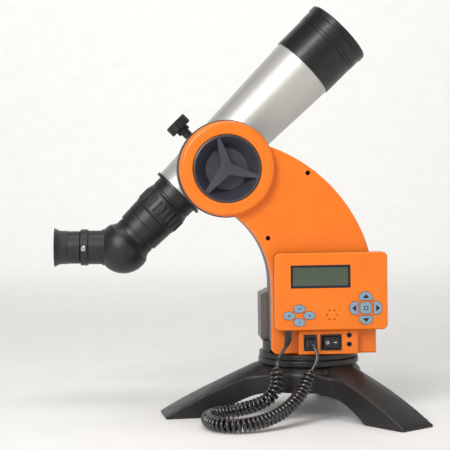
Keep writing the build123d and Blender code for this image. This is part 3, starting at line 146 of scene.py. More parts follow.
def two_tone(tree, factor, first, second):
    """A colour between two hex colours."""
    inputs = {0: factor, 6: linear(first), 7: linear(second)}
    return add(tree, "ShaderNodeMix", {"data_type": "RGBA"}, inputs).outputs[2]


def raise_surface(tree, shader, height, depth_mm, strength=1.0):
    """Feeds a height from 0 to 1 to the shader's normal, depth_mm deep."""
    inputs = {"Height": height, "Distance": depth_mm * MM, "Strength": strength}
    tree.links.new(add(tree, "ShaderNodeBump", None, inputs).outputs["Normal"], shader.inputs["Normal"])


# %% [markdown]
# ## Moulded plastics
# Most of the telescope is injection-moulded ABS. A polished mould leaves a satin gloss with a very
# faint orange peel; an etched mould leaves a fine grain that scatters the light. One function makes
# them all from their two close colours, the roughness range, and the size and depth of the grain.

# %% Moulded plastics


def moulded(name, colours, gloss, grain_mm, grain_depth_mm, cloud_mm=22.0, coat=0.0):
    """Injection-moulded plastic: close colours in soft clouds, uneven gloss and a moulded grain."""
    made, tree, shader, place = new_finish(name, {"IOR": 1.53, "Coat Weight": coat, "Coat Roughness": 0.08})
    clouds = noise(tree, place, cloud_mm, 3.0)
    tree.links.new(two_tone(tree, spread(tree, clouds, 0.0, 1.0), *colours), shader.inputs["Base Color"])
    handling = noise(tree, place, cloud_mm * 0.45, 4.0, 0.6)
    tree.links.new(spread(tree, handling, *gloss), shader.inputs["Roughness"])
    grain = noise(tree, place, grain_mm, 3.0, 0.55)
    raise_surface(tree, shader, grain, grain_depth_mm, 0.6)
    return made


# Orange ABS from a lightly etched mould: even satin gloss.
orange_abs = moulded("orange_abs", ("#f27a06", "#ee7302"), (0.30, 0.38), 1.1, 0.010)
# Slate ABS of the arm's back: the same mould finish, in a warm dark grey.
slate_abs = moulded("slate_abs", ("#474240", "#3f3c3c"), (0.40, 0.50), 1.0, 0.02)
# Warm grey ABS of the battery box and its door.
battery_abs = moulded("battery_abs", ("#6e6662", "#665e5b"), (0.40, 0.50), 1.0, 0.02)
# Charcoal ABS of the clutch knob and saddle: matt-satin, faintly violet.
charcoal_abs = moulded("charcoal_abs", ("#3f3f49", "#383841"), (0.30, 0.40), 0.8, 0.02)
# Glass-filled polypropylene of the tripod: a coarser leather-like grain with a soft sheen.
tripod_pp = moulded("tripod_pp", ("#1e1b19", "#171513"), (0.38, 0.50), 1.0, 0.08)
# Black ABS from a polished mould: the dew shield, its cap and the switch.
gloss_black = moulded("gloss_black_abs", ("#070708", "#0b0b0c"), (0.28, 0.36), 3.0, 0.003, coat=0.1)
# Black ABS with a satin mould: the focuser, the diagonal and the jack.
satin_black = moulded("satin_black_abs", ("#151516", "#1b1b1c"), (0.38, 0.46), 0.6, 0.004)
# Near-black ABS of the base ring and turntable.
base_black = moulded("base_black_abs", ("#0b0c0d", "#101112"), (0.34, 0.46), 1.0, 0.01)
# Black ABS of the clamp knob.
clamp_black = moulded("clamp_black_abs", ("#131315", "#19191b"), (0.36, 0.46), 0.8, 0.01)
# Dark blue-black polycarbonate of the plug.
plug_polycarbonate = moulded(
    "plug_polycarbonate", ("#161a22", "#1d222c"), (0.16, 0.24), 2.0, 0.006, coat=0.2
)
# Epoxy glass board with a green solder mask.
solder_mask = moulded("solder_mask", ("#0d5a2a", "#0f6a33"), (0.26, 0.36), 2.0, 0.01)
# Printed plastic sleeve of a cell.
cell_sleeve = moulded("cell_sleeve", ("#1d1f24", "#26282e"), (0.20, 0.28), 4.0, 0.006)
print("plastics", len(bpy.data.materials))

# %% [markdown]
# ## Rubbers and cord jacket
# Silicone keys are pale blue and quite matt, the eyecup is black rubber with a bloom on it, and the
# cord is extruded PVC: smooth, with a wet-looking gloss along each turn.

# %% Rubbers


def rubber(name, colours, gloss, grain_mm, grain_depth_mm, sheen=0.0):
    """Moulded rubber: matt, with a dusty bloom given by sheen."""
    inputs = {"IOR": 1.50, "Sheen Weight": sheen, "Sheen Roughness": 0.5}
    made, tree, shader, place = new_finish(name, inputs)
    bloom = noise(tree, place, 9.0, 4.0, 0.65)
    tree.links.new(two_tone(tree, spread(tree, bloom, 0.0, 1.0), *colours), shader.inputs["Base Color"])
    tree.links.new(spread(tree, bloom, *gloss), shader.inputs["Roughness"])
    raise_surface(tree, shader, noise(tree, place, grain_mm, 2.0), grain_depth_mm, 0.7)
    return made


key_silicone = rubber("key_silicone", ("#86a0b4", "#7d97ac"), (0.46, 0.58), 0.8, 0.02, 0.1)
eyecup_rubber = rubber("eyecup_rubber", ("#161617", "#202021"), (0.50, 0.66), 0.9, 0.03, 0.25)
# The cord's PVC jacket has a thin wet-looking skin, so it is a moulded plastic with a full coat.
cord_pvc = moulded("cord_pvc", ("#0a0a0a", "#0f0f0e"), (0.16, 0.24), 1.6, 0.004, coat=1.0)
print("rubbers", key_silicone.name, eyecup_rubber.name, cord_pvc.name)

# %% [markdown]
# ## Metals
# The tube is aluminium under a silver metallic lacquer: fine flakes under a clear coat, so the long
# highlight is bright and soft-edged. Machined pieces show turning marks, which a stretched noise draws.

# %% Metals


def metal(name, colours, gloss, scratch_mm, stretch=(1.0, 1.0, 1.0), coat=0.0, metallic=1.0):
    """Bare or lacquered metal. The stretch draws the marks out along the axes with small numbers."""
    inputs = {"Metallic": metallic, "Coat Weight": coat, "Coat Roughness": 0.12}
    made, tree, shader, place = new_finish(name, inputs)
    drawn = add(tree, "ShaderNodeMapping", None, {"Vector": place, "Scale": stretch}).outputs["Vector"]
    marks = noise(tree, drawn, scratch_mm, 4.0, 0.6)
    tree.links.new(two_tone(tree, spread(tree, marks, 0.0, 1.0), *colours), shader.inputs["Base Color"])
    tree.links.new(spread(tree, marks, *gloss), shader.inputs["Roughness"])
    raise_surface(tree, shader, marks, 0.004, 0.5)
    return made


# Silver metallic lacquer: 0.3 mm flakes, drawn coarser than the real 0.05 mm so that they show. The
# binder between the flakes scatters light like paint, so the finish isn't wholly metallic.
silver_lacquer = metal("silver_lacquer", ("#d4d2cd", "#c6c4bf"), (0.44, 0.52), 0.3, coat=0.15, metallic=0.75)
# Chrome plate on the set screw.
chrome_plate = metal("chrome_plate", ("#dcdcde", "#d2d2d5"), (0.06, 0.12), 2.0)
# Turned steel of the shaft, and the motors' drawn cans.
turned_steel = metal("turned_steel", ("#8d8c8b", "#7d7c7b"), (0.28, 0.42), 0.5, (1.0, 4.0, 1.0))
# Black-oxide steel of the case screws.
black_oxide = metal("black_oxide_steel", ("#23252c", "#191b21"), (0.30, 0.44), 0.8)
# Cut brass of the altitude wheel.
cut_brass = metal("cut_brass", ("#b5924a", "#a58340"), (0.26, 0.38), 0.6)
# Satin anodised aluminium of the dovetail bar.
anodised_bar = metal("anodised_aluminium", ("#8f9092", "#85868a"), (0.34, 0.44), 0.5)
# Gold-plated springs in the jack.
gold_plate = metal("gold_plate", ("#e0b45c", "#d4a54b"), (0.16, 0.24), 0.9)
print("metals", silver_lacquer.name, chrome_plate.name, gold_plate.name)

# %% [markdown]
# ## Glass, display and inks
# The lenses are coated crown and flint glass. The display is a reflective liquid crystal, of which a
# grey-green polariser shows inside the window's printed navy border.

# %% Glass, display and inks


GLASS_ROUGHNESS = 0.02


def clear(name, colour, ior):
    """Clear glass, with a faint unevenness in its polish."""
    inputs = {"Base Color": linear(colour), "IOR": ior}
    inputs.update({"Transmission Weight": 1.0, "Roughness": GLASS_ROUGHNESS})
    made, tree, shader, place = new_finish(name, inputs)
    raise_surface(tree, shader, noise(tree, place, 14.0, 1.0), 0.002, 0.2)
    return made


lens_glass = clear("coated_lens_glass", "#dfeaf2", 1.52)
prism_glass = clear("prism_glass", "#e6eef0", 1.57)


def ink(name, colours, roughness):
    """Screen-printed ink: two close colours, with a slight unevenness where the squeegee left it."""
    made, tree, shader, place = new_finish(name, {"IOR": 1.48})
    film = noise(tree, place, 1.5, 3.0)
    tree.links.new(two_tone(tree, spread(tree, film, 0.0, 1.0), *colours), shader.inputs["Base Color"])
    tree.links.new(spread(tree, film, roughness, roughness + 0.1), shader.inputs["Roughness"])
    return made


black_ink = ink("black_key_ink", ("#08080a", "#0d0d0f"), 0.5)
white_ink = ink("white_switch_ink", ("#e6e6e4", "#dcdcda"), 0.45)
border_ink = ink("navy_border_ink", ("#0a1a2c", "#0d1e31"), 0.16)
display_green = moulded("display_polariser", ("#3d4b3b", "#46543f"), (0.14, 0.20), 0.5, 0.002, 60.0, 0.6)
print("inks and glass", black_ink.name, white_ink.name, display_green.name)

# %% [markdown]
# ## Finishes for the solids that stay
# A CAD solid whose shape is already right keeps its mesh and only gets a finish. The table says which
# finish goes on which solid. Solids that a later cell replaces are in it too, because their
# replacements look their finish up here.

# %% Finish of every node
KEYS = ["key_top", "key_left", "key_right", "key_bottom", "select_key"]
ARROWS = ["arrow_right", "arrow_up", "arrow_left", "arrow_down"]
finish_of = {}
for finish, names in (
    (orange_abs, ["arm_front_cover", "controller_front", "connector_housing"]),
    (slate_abs, ["arm_rear_shell", "controller_back"]),
    (battery_abs, ["battery_box", "battery_door"]),
    (charcoal_abs, ["clutch_knob", "saddle"]),
    (clamp_black, ["clamp_knob"]),
    (tripod_pp, ["tripod_base", "tripod_bolt"]),
    (base_black, ["base_ring", "turntable"]),
    (gloss_black, ["dew_shield", "dust_cap", "rocker", "switch_bezel"]),
    (satin_black, ["modular_jack", "round_sockets", "rear_cell", "focus_ring", "drawtube"]),
    (satin_black, ["diagonal_housing", "eyepiece_holder", "eyepiece_body"]),
    (satin_black, ["objective_cell", "objective_retainer"]),
    (plug_polycarbonate, ["modular_plug"]),
    (solder_mask, ["main_board"]),
    (cell_sleeve, ["battery_cells"]),
    (key_silicone, KEYS + ARROWS),
    (eyecup_rubber, ["eyecup", "strain_relief"]),
    (cord_pvc, ["cord_lead_out", "cord_coil", "cord_lead_in"]),
    (silver_lacquer, ["main_tube"]),
    (chrome_plate, ["set_screw"]),
    (turned_steel, ["altitude_shaft", "azimuth_motor", "altitude_motor"]),
    (black_oxide, ["shell_screws", "bar_screws"]),
    (cut_brass, ["altitude_gear"]),
    (anodised_bar, ["dovetail_bar"]),
    (lens_glass, ["objective_flint", "objective_crown", "eyepiece_lens"]),
    (prism_glass, ["diagonal_prism"]),
    (border_ink, ["lcd_window"]),
    (display_green, ["lcd_module"]),
):
    for name in names:
        finish_of[name] = finish
for name, node in nodes.items():
    node.data.materials.clear()
    node.data.materials.append(finish_of[name])
print("nodes with a finish", len(finish_of))

# %% [markdown]
# ## Helpers for pieces
# `finished` turns a mesh into a piece: smooth faces with their sharp edges kept, a finish, the CAD body
# it moves with and the solids it stands for. `lathe` turns a closed profile about Z, and `eased` first
# rounds the profile's corners, because a moulded or turned edge always catches a thin line of light.

# %% Piece helpers
body_of = {name: body for body, names in frame["record"]["behaviour"]["bodies"].items() for name in names}


def finished(name, data, finish, stands_for=(), body=None, sharp=35.0):
    """Makes the piece. Its body is that of the first node it stands for, if it has one.
    Edges over the sharp angle stay sharp; None keeps the normals that the mesh already has."""
    data.materials.clear()
    data.materials.append(finish)
    if sharp is not None:
        data.polygons.foreach_set("use_smooth", [True] * len(data.polygons))
        data.set_sharp_from_angle(angle=math.radians(sharp))
    piece = bpy.data.objects.new(name, data)
    bpy.context.scene.collection.objects.link(piece)
    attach(piece, body or body_of[stands_for[0]])
    if stands_for:
        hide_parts(*stands_for)
    print(name, "faces", len(data.polygons))
    return piece


def eased(profile, radius, steps=4):
    """Rounds the corners of a closed profile of (radius, height) points. Poles stay as they are."""
    out = []
    for before, here, after in zip(profile[-1:] + profile[:-1], profile, profile[1:] + profile[:1]):
        if here[0] == 0:
            out.append(here)
            continue
        corner, back, ahead = Vector(here), Vector(before) - Vector(here), Vector(after) - Vector(here)
        start = corner + back.normalized() * min(radius, back.length * 0.45)
        end = corner + ahead.normalized() * min(radius, ahead.length * 0.45)
        for k in range(steps + 1):
            t = k / steps
            out.append(tuple((1 - t) ** 2 * start + 2 * t * (1 - t) * corner + t * t * end))
    return out


def lathe(profile, segments=96):
    """A closed solid turned about Z from (radius, height) points in mm. A radius of 0 is a pole."""
    solid = bmesh.new()
    rings = []
    for radius, height in profile:
        count = segments if radius > 0 else 1
        turns = [2 * math.pi * k / segments for k in range(count)]
        spots = [(radius * MM * math.cos(a), radius * MM * math.sin(a), height * MM) for a in turns]
        rings.append([solid.verts.new(spot) for spot in spots])
    for low, high in zip(rings, rings[1:] + rings[:1]):
        for k in range(segments):
            corners = [low[k % len(low)], low[(k + 1) % len(low)]]
            corners += [high[(k + 1) % len(high)], high[k % len(high)]]
            corners = list(dict.fromkeys(corners))
            if len(corners) > 2:
                solid.faces.new(corners)
    bmesh.ops.recalc_face_normals(solid, faces=solid.faces)
    return solid


def to_mesh(solid, place=None):
    """Closes a bmesh into a mesh, moved to its place in the row frame."""
    data = bpy.data.meshes.new("piece")
    solid.to_mesh(data)
    solid.free()
    if place is not None:
        data.transform(place)
    return data


def axes(origin, x_axis, z_axis):
    """The matrix of a local frame from its origin in mm, its X axis and its Z axis."""
    z = Vector(z_axis).normalized()
    x = Vector(x_axis).normalized()
    turn = Matrix((x, z.cross(x), z)).transposed().to_4x4()
    return Matrix.Translation(Vector(origin) * MM) @ turn


# %% [markdown]
# ## Tube and hub
# The tube leans by its tilt in the plane of X and Z, as in the CAD. Along it, z = 0 is the tube's rear
# end. The hub is where the altitude axis comes out of the arm.

# %% Axes
TILT = math.radians(44.3)
HUB = (-82.0, 0.0, 243.0)
TUBE_REAR = (-124.8, 80.0, 220.2)
along = Vector((math.cos(TILT), 0, math.sin(TILT)))
tube_frame = axes(TUBE_REAR, (0, 1, 0), along)
print("tube axis", [round(v, 4) for v in along])

# %% [markdown]
# ## Curly cord
# One cord runs from the controller's strain relief to the plug in the jack: a short straight lead, a
# long curl, and a straight lead up to the plug. The curl's route is a smooth NURBS line; the helix is
# wound round points read from that line, and its turns open into the leads over the first and last
# turn. Leads and helix are the control points of one spline, so the cord is a single real length.

# %% Curly cord
LEAD_OUT = [(-27.4, -49.6, 71.2), (-31.6, -53.2, 65.2), (-36.4, -58.4, 60.4), (-37.4, -62.0, 53.0)]
COIL_ROUTE = [
    (-37.4, -62.0, 53.0),
    (-37.2, -65.5, 37.0),
    (-44.5, -68.0, 24.5),
    (-58.0, -62.5, 16.5),
    (-73.5, -52.5, 11.0),
    (-89.5, -50.5, 8.4),
    (-102.5, -61.0, 7.5),
    (-106.0, -78.5, 7.4),
    (-103.0, -97.0, 7.4),
    (-93.5, -112.5, 7.4),
    (-76.5, -117.5, 7.6),
    (-57.5, -109.5, 9.0),
    (-39.5, -98.0, 13.5),
    (-24.5, -86.0, 22.0),
    (-12.5, -75.5, 34.5),
    (-5.0, -67.0, 49.5),
]
LEAD_IN = [
    (-5.0, -67.0, 49.5),
    (0.2, -64.6, 57.6),
    (1.2, -62.4, 65.2),
    (-1.2, -60.0, 70.6),
    (-3.4, -56.0, 73.0),
]
WIRE = 3.5
COIL_OUTSIDE = 14.0
COIL_PITCH = 4.5
POINTS_A_TURN = 14


def smooth_line(name, points, width=0.0, fineness=6):
    """A NURBS curve through the run of control points, as an object. Points are in mm."""
    curve = bpy.data.curves.new(name, "CURVE")
    curve.dimensions = "3D"
    curve.resolution_u = fineness
    curve.bevel_depth = width * MM / 2
    curve.bevel_resolution = 3
    curve.use_fill_caps = True
    spline = curve.splines.new("NURBS")
    spline.points.add(len(points) - 1)
    for spot, point in zip(spline.points, points):
        spot.co = (point[0] * MM, point[1] * MM, point[2] * MM, 1.0)
    spline.order_u = 3
    spline.use_endpoint_u = True
    made = bpy.data.objects.new(name, curve)
    bpy.context.scene.collection.objects.link(made)
    return made


def read_line(points):
    """Points along the smooth line of a route, in mm."""
    line = smooth_line("route", points, fineness=12)
    bpy.context.view_layer.update()
    data = bpy.data.meshes.new_from_object(line)
    out = [v.co / MM for v in data.vertices]
    bpy.data.objects.remove(line)
    bpy.data.meshes.remove(data)
    return out


def evenly(points, count):
    """The same line as count points at equal steps, with its length."""
    walked = [0.0]
    for a, b in zip(points, points[1:]):
        walked.append(walked[-1] + (b - a).length)
    out, k = [], 0
    for i in range(count):
        want = walked[-1] * i / (count - 1)
        while k < len(points) - 2 and walked[k + 1] < want:
            k += 1
        share = (want - walked[k]) / (walked[k + 1] - walked[k])
        out.append(points[k].lerp(points[k + 1], min(share, 1.0)))
    return out, walked[-1]


def wound(points, radius, pitch, per_turn):
    """A helix round a line. The sideways direction is carried along without twist, and the radius
    grows from the line over the first turn and shrinks back to it over the last."""
    length = evenly(points, 2)[1]
    count = round(length / pitch) * per_turn
    line = evenly(points, count)[0]
    side = Vector((1, 0, 0))
    out = []
    for i in range(count):
        heading = (line[min(i + 1, count - 1)] - line[max(i - 1, 0)]).normalized()
        side = (side - heading * side.dot(heading)).normalized()
        angle = 2 * math.pi * i / per_turn
        reach = radius * min(1.0, i / per_turn, (count - 1 - i) / per_turn)
        out.append(line[i] + (side * math.cos(angle) + heading.cross(side) * math.sin(angle)) * reach)
    return out


curl = wound(read_line(COIL_ROUTE), (COIL_OUTSIDE - WIRE) / 2, COIL_PITCH, POINTS_A_TURN)
cord_points = LEAD_OUT[:-1] + [tuple(p) for p in curl] + LEAD_IN[1:]
cord = smooth_line("curly_cord", cord_points, WIRE, fineness=3)
cord.data.materials.append(cord_pvc)
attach(cord, "controller")
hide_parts("cord_lead_out", "cord_coil", "cord_lead_in")
cord_length = evenly([Vector(p) for p in cord_points], 2)[1] * MM
print("cord turns", len(curl) // POINTS_A_TURN, "length", round(cord_length, 3), "m")

# %% [markdown]
# ## Eased copies of the CAD solids
# No moulded or turned edge is perfectly sharp. Each piece in the table is the CAD solid itself, merged
# into one closed mesh, with every real edge rounded by a few tenths of a millimetre. The bevel isn't
# clamped, so each width stays under half of the piece's thinnest rim. Weighted normals keep the flat
# faces flat beside their rounded edges.

# %% Eased copies


def evaluated(data, modifiers):
    """The mesh after a list of (kind, settings) modifiers."""
    holder = bpy.data.objects.new("holder", data)
    bpy.context.scene.collection.objects.link(holder)
    for kind, settings in modifiers:
        modifier = holder.modifiers.new(kind.lower(), kind)
        for name, value in settings.items():
            setattr(modifier, name, value)
    bpy.context.view_layer.update()
    out = bpy.data.meshes.new_from_object(holder.evaluated_get(bpy.context.evaluated_depsgraph_get()))
    bpy.data.objects.remove(holder)
    return out


def merged(name):
    """A CAD solid as one closed mesh, its flat faces joined."""
    solid = bmesh.new()
    solid.from_mesh(nodes[name].data)
    bmesh.ops.remove_doubles(solid, verts=solid.verts, dist=2e-6)
    bmesh.ops.dissolve_limit(solid, angle_limit=math.radians(0.3), verts=solid.verts, edges=solid.edges)
    return solid


BEVEL_ANGLE = math.radians(32)  # a curved face's own facets meet at less
BEVEL_STEPS = 3


def softened(data, width):
    """Rounds every edge sharper than the bevel angle to about width mm."""
    data.polygons.foreach_set("use_smooth", [True] * len(data.polygons))
    bevel = {"width": width * MM, "segments": BEVEL_STEPS, "limit_method": "ANGLE"}
    bevel.update({"angle_limit": BEVEL_ANGLE, "use_clamp_overlap": False, "harden_normals": True})
    return evaluated(data, [("BEVEL", bevel), ("WEIGHTED_NORMAL", {"keep_sharp": True})])


EDGE_WIDTHS = {
    "connector_housing": 0.3,
    "controller_front": 0.22,
    "controller_back": 0.3,
    "battery_box": 0.4,
    "battery_door": 0.25,
    "base_ring": 0.4,
    "turntable": 0.35,
    "tripod_bolt": 0.6,
    "dovetail_bar": 0.3,
    "clutch_knob": 0.4,
    "main_tube": 0.3,
    "dew_shield": 0.3,
    "dust_cap": 0.18,
    "rear_cell": 0.3,
    "drawtube": 0.3,
    "eyepiece_holder": 0.25,
    "eyepiece_body": 0.25,
    "eyecup": 0.5,
    "set_screw": 0.2,
    "switch_bezel": 0.4,
    "rocker": 0.4,
    "modular_jack": 0.35,
    "round_sockets": 0.12,
}
for name, width in EDGE_WIDTHS.items():
    eased_copy = softened(to_mesh(merged(name)), width)
    finished(f"{name}_shown", eased_copy, finish_of[name], [name], sharp=None)

# %% [markdown]
# ## Tripod
# The tripod is one thick moulding, and its ridges are rounded far more than a bevel could manage where
# three curved faces meet. Its copy is rebuilt as even voxels and relaxed, which rounds every ridge
# and crotch by a millimetre or two, as the draft and fillets of the mould do.

# %% Tripod
TRIPOD_VOXEL = 1.3
remesh = {"mode": "VOXEL", "voxel_size": TRIPOD_VOXEL * MM, "use_smooth_shade": True}
relax = {"factor": 0.5, "iterations": 2}
tripod_data = evaluated(to_mesh(merged("tripod_base")), [("REMESH", remesh), ("SMOOTH", relax)])
finished("tripod_shown", tripod_data, tripod_pp, ["tripod_base"], sharp=80.0)

# %% [markdown]
# ## One group for everything repeated
# Ribs, knurls, screw heads and contact springs are all the same job: one small shape set on many
# places. The node group takes the places, the shape, its finish, and a random spin about the shape's
# own Z for screws that were driven home at different angles. It ends in a realized, finished mesh.

# %% Set on points


def placing_group():
    """Sets an item on every point of a mesh, turned as the point's facing says and spun at random."""
    tree = bpy.data.node_groups.new("set_on_points", "GeometryNodeTree")
    sockets = {
        "Places": "NodeSocketGeometry",
        "Item": "NodeSocketObject",
        "Finish": "NodeSocketMaterial",
        "Largest spin": "NodeSocketFloat",
        "Seed": "NodeSocketInt",
    }
    for name, kind in sockets.items():
        tree.interface.new_socket(name, in_out="INPUT", socket_type=kind)
    tree.interface.new_socket("Result", in_out="OUTPUT", socket_type="NodeSocketGeometry")
    entry = add(tree, "NodeGroupInput").outputs
    facing = add(tree, "GeometryNodeInputNamedAttribute", {"data_type": "FLOAT_VECTOR"}, {"Name": "facing"})
    turned = add(tree, "FunctionNodeEulerToRotation", None, {"Euler": facing.outputs["Attribute"]})
    chance = add(tree, "FunctionNodeRandomValue", None, {3: entry["Largest spin"], 8: entry["Seed"]})
    spin = add(tree, "FunctionNodeAxisAngleToRotation", None, {"Angle": chance.outputs[1]})
    both = {"Rotation": turned.outputs["Rotation"], "Rotate By": spin.outputs["Rotation"]}
    heading = add(tree, "FunctionNodeRotateRotation", {"rotation_space": "LOCAL"}, both)
    item = add(tree, "GeometryNodeObjectInfo", None, {"Object": entry["Item"]})
    wanted = {"Points": entry["Places"], "Instance": item.outputs["Geometry"]}
    wanted["Rotation"] = heading.outputs["Rotation"]
    placed = add(tree, "GeometryNodeInstanceOnPoints", None, wanted)
    real = add(tree, "GeometryNodeRealizeInstances", None, {"Geometry": placed.outputs["Instances"]})
    final = {"Geometry": real.outputs["Geometry"], "Material": entry["Finish"]}
    coated = add(tree, "GeometryNodeSetMaterial", None, final)
    add(tree, "NodeGroupOutput", None, {"Result": coated.outputs["Geometry"]})
    return tree


set_on_points = placing_group()


def set_out(item, places, finish, place=None, spin=0.0, seed=4):
    """A plain mesh with the item at each (point in mm, Euler facing), moved to its place in the frame."""
    item_object = bpy.data.objects.new("item", to_mesh(item))
    data = bpy.data.meshes.new("places")
    data.from_pydata([Vector(point) * MM for point, _ in places], [], [])
    facing = data.attributes.new("facing", "FLOAT_VECTOR", "POINT")
    facing.data.foreach_set("vector", [angle for _, turn in places for angle in turn])
    holder = bpy.data.objects.new("places", data)
    bpy.context.scene.collection.objects.link(holder)
    modifier = holder.modifiers.new("set", "NODES")
    modifier.node_group = set_on_points
    values = {"Item": item_object, "Finish": finish, "Largest spin": spin, "Seed": seed}
    for socket in set_on_points.interface.items_tree:
        if socket.name in values:
            modifier[socket.identifier] = values[socket.name]
    bpy.context.view_layer.update()
    out = bpy.data.meshes.new_from_object(holder.evaluated_get(bpy.context.evaluated_depsgraph_get()))
    bpy.data.objects.remove(holder)
    bpy.data.objects.remove(item_object)
    if place is not None:
        out.transform(place)
    return out


def round_places(radius, count, height=0.0):
    """Places on a circle about Z, with each item's X axis pointing outward."""
    turns = [2 * math.pi * k / count for k in range(count)]
    return [((radius * math.cos(a), radius * math.sin(a), height), (0.0, 0.0, a)) for a in turns]


def together(*meshes):
    """Several meshes as one."""
    solid = bmesh.new()
    for data in meshes:
        solid.from_mesh(data)
    return to_mesh(solid)


def rib(length, width, depth, rings=8, sides=12):
    """A half-buried bar with rounded ends, its length along Z, standing depth mm out along X."""
    solid = bmesh.new()
    bmesh.ops.create_uvsphere(solid, u_segments=sides, v_segments=rings, radius=1.0)
    stretch = max(length / 2 - width / 2, 0.0)
    for vertex in solid.verts:
        x, y, z = vertex.co
        shift = math.copysign(stretch, z) if abs(z) > 1e-6 else 0.0
        vertex.co = Vector((x * depth * MM, y * width / 2 * MM, (z * width / 2 + shift) * MM))
    return solid


print("group", set_on_points.name, "inputs", [s.name for s in set_on_points.interface.items_tree])

# %% [markdown]
# ## Focus ring
# The grip has short raised ribs round its middle, each a rounded bar that fades into the ring at both
# ends, between two smooth shoulders.

# %% Focus ring
FOCUS_FRONT = -15.0
FOCUS_LENGTH = 23.0
FOCUS_RIBS = 26
FOCUS_RIB_LENGTH = 14.5
FOCUS_RIB_WIDTH = 2.9
FOCUS_RIB_DEPTH = 1.0
FOCUS_RIB_RADIUS = 25.4  # just under the ring's widest, so that each rib is half buried
FOCUS_BODY = [
    (20.05, 0.0),
    (24.6, 0.0),
    (25.3, -2.0),
    (25.5, -4.5),
    (25.5, -18.5),
    (25.2, -21.0),
    (24.6, -23.0),
    (20.05, -23.0),
]
ring_place = tube_frame @ Matrix.Translation((0, 0, FOCUS_FRONT * MM))
ring_mesh = to_mesh(lathe(eased(FOCUS_BODY, 0.5)), ring_place)
focus_middle = FOCUS_FRONT - FOCUS_LENGTH / 2
focus_rib = rib(FOCUS_RIB_LENGTH, FOCUS_RIB_WIDTH, FOCUS_RIB_DEPTH)
rib_places = round_places(FOCUS_RIB_RADIUS, FOCUS_RIBS, focus_middle)
ribs = set_out(focus_rib, rib_places, satin_black, tube_frame)
finished("focus_ring_shown", together(ring_mesh, ribs), satin_black, ["focus_ring"])

# %% [markdown]
# ## Clamp knob
# The head keeps its eight finger lobes from the CAD, and the collar under it has a fine straight knurl.

# %% Clamp knob
CLAMP_Y = 34.0
CLAMP_COLLAR = 6.2
CLAMP_COLLAR_MIDDLE = 55.6
KNURLS = 22
KNURL_LENGTH, KNURL_WIDTH, KNURL_DEPTH = 4.2, 0.9, 0.5
CLAMP_EDGE = 0.35
clamp_axis = (-math.sin(TILT), 0, math.cos(TILT))
clamp_frame = axes((HUB[0], CLAMP_Y, HUB[2]), (0, 1, 0), clamp_axis)
clamp_copy = softened(to_mesh(merged("clamp_knob")), CLAMP_EDGE)
knurl_bar = rib(KNURL_LENGTH, KNURL_WIDTH, KNURL_DEPTH, sides=8)
knurl_places = round_places(CLAMP_COLLAR, KNURLS, CLAMP_COLLAR_MIDDLE)
knurl = set_out(knurl_bar, knurl_places, clamp_black, clamp_frame)
finished("clamp_knob_shown", together(clamp_copy, knurl), clamp_black, ["clamp_knob"])

# %% [markdown]
# ## Screws
# Pan-head screws with a cross recess hold the arm's two halves. Each is spun to a different angle by the
# group's seed.

# %% Screws


def cross_screw(radius, height, length, shank):
    """A domed head along -Z with a cross recess, on a shank that runs along +Z."""
    head = [(0.0, -height), (radius * 0.62, -height * 0.82), (radius * 0.92, -height * 0.4), (radius, 0.0)]
    solid = lathe(head + [(shank, 0.0), (shank, length), (0.0, length)], 32)
    slot = radius * 0.62
    cross = bmesh.new()
    for k in range(2):
        made = bmesh.ops.create_cube(cross, size=1.0)["verts"]
        bmesh.ops.scale(cross, vec=(2 * slot * MM, slot * 0.4 * MM, height * 1.2 * MM), verts=made)
        bmesh.ops.rotate(cross, matrix=Matrix.Rotation(math.pi / 2 * k, 3, "Z"), verts=made)
    cutter = to_mesh(cross, Matrix.Translation((0, 0, -height * MM)))
    cutter_object = bpy.data.objects.new("cross", cutter)
    bpy.context.scene.collection.objects.link(cutter_object)
    cut = {"operation": "DIFFERENCE", "solver": "EXACT", "object": cutter_object, "use_self": True}
    data = evaluated(to_mesh(solid), [("BOOLEAN", cut)])
    bpy.data.objects.remove(cutter_object)
    out = bmesh.new()
    out.from_mesh(data)
    return out


SHELL_SCREWS = ((-3.1, 238.0), (-42.6, 175.2), (-31.0, 112.0), (53.0, 112.0))
SHELL_SCREW_SEAT = -33.0
SCREW_RADIUS, SCREW_HEAD, SCREW_LENGTH, SCREW_SHANK = 2.2, 1.9, 15.0, 1.3
facing_front = (-math.pi / 2, 0.0, 0.0)
screw_places = [((x, SHELL_SCREW_SEAT, z), facing_front) for x, z in SHELL_SCREWS]
shell_screw = cross_screw(SCREW_RADIUS, SCREW_HEAD, SCREW_LENGTH, SCREW_SHANK)
screws = set_out(shell_screw, screw_places, black_oxide, spin=math.pi / 2)
finished("shell_screws_shown", screws, black_oxide, ["shell_screws"])

# %% [markdown]
# ## Display
# A window sits in its opening in the panel. Only the navy border that is printed round it and the
# display's grey-green polariser inside the border can be seen, so those are the two pieces here.

# %% Display
PANEL_FRONT = -54.0
SCREEN = (6.2, 138.1)
SCREEN_SIZE = (58.0, 22.2)
BORDER = 2.2
BORDER_DEPTHS = (PANEL_FRONT + 1.25, PANEL_FRONT + 1.95)
POLARISER_DEPTHS = (PANEL_FRONT + 1.6, PANEL_FRONT + 2.1)


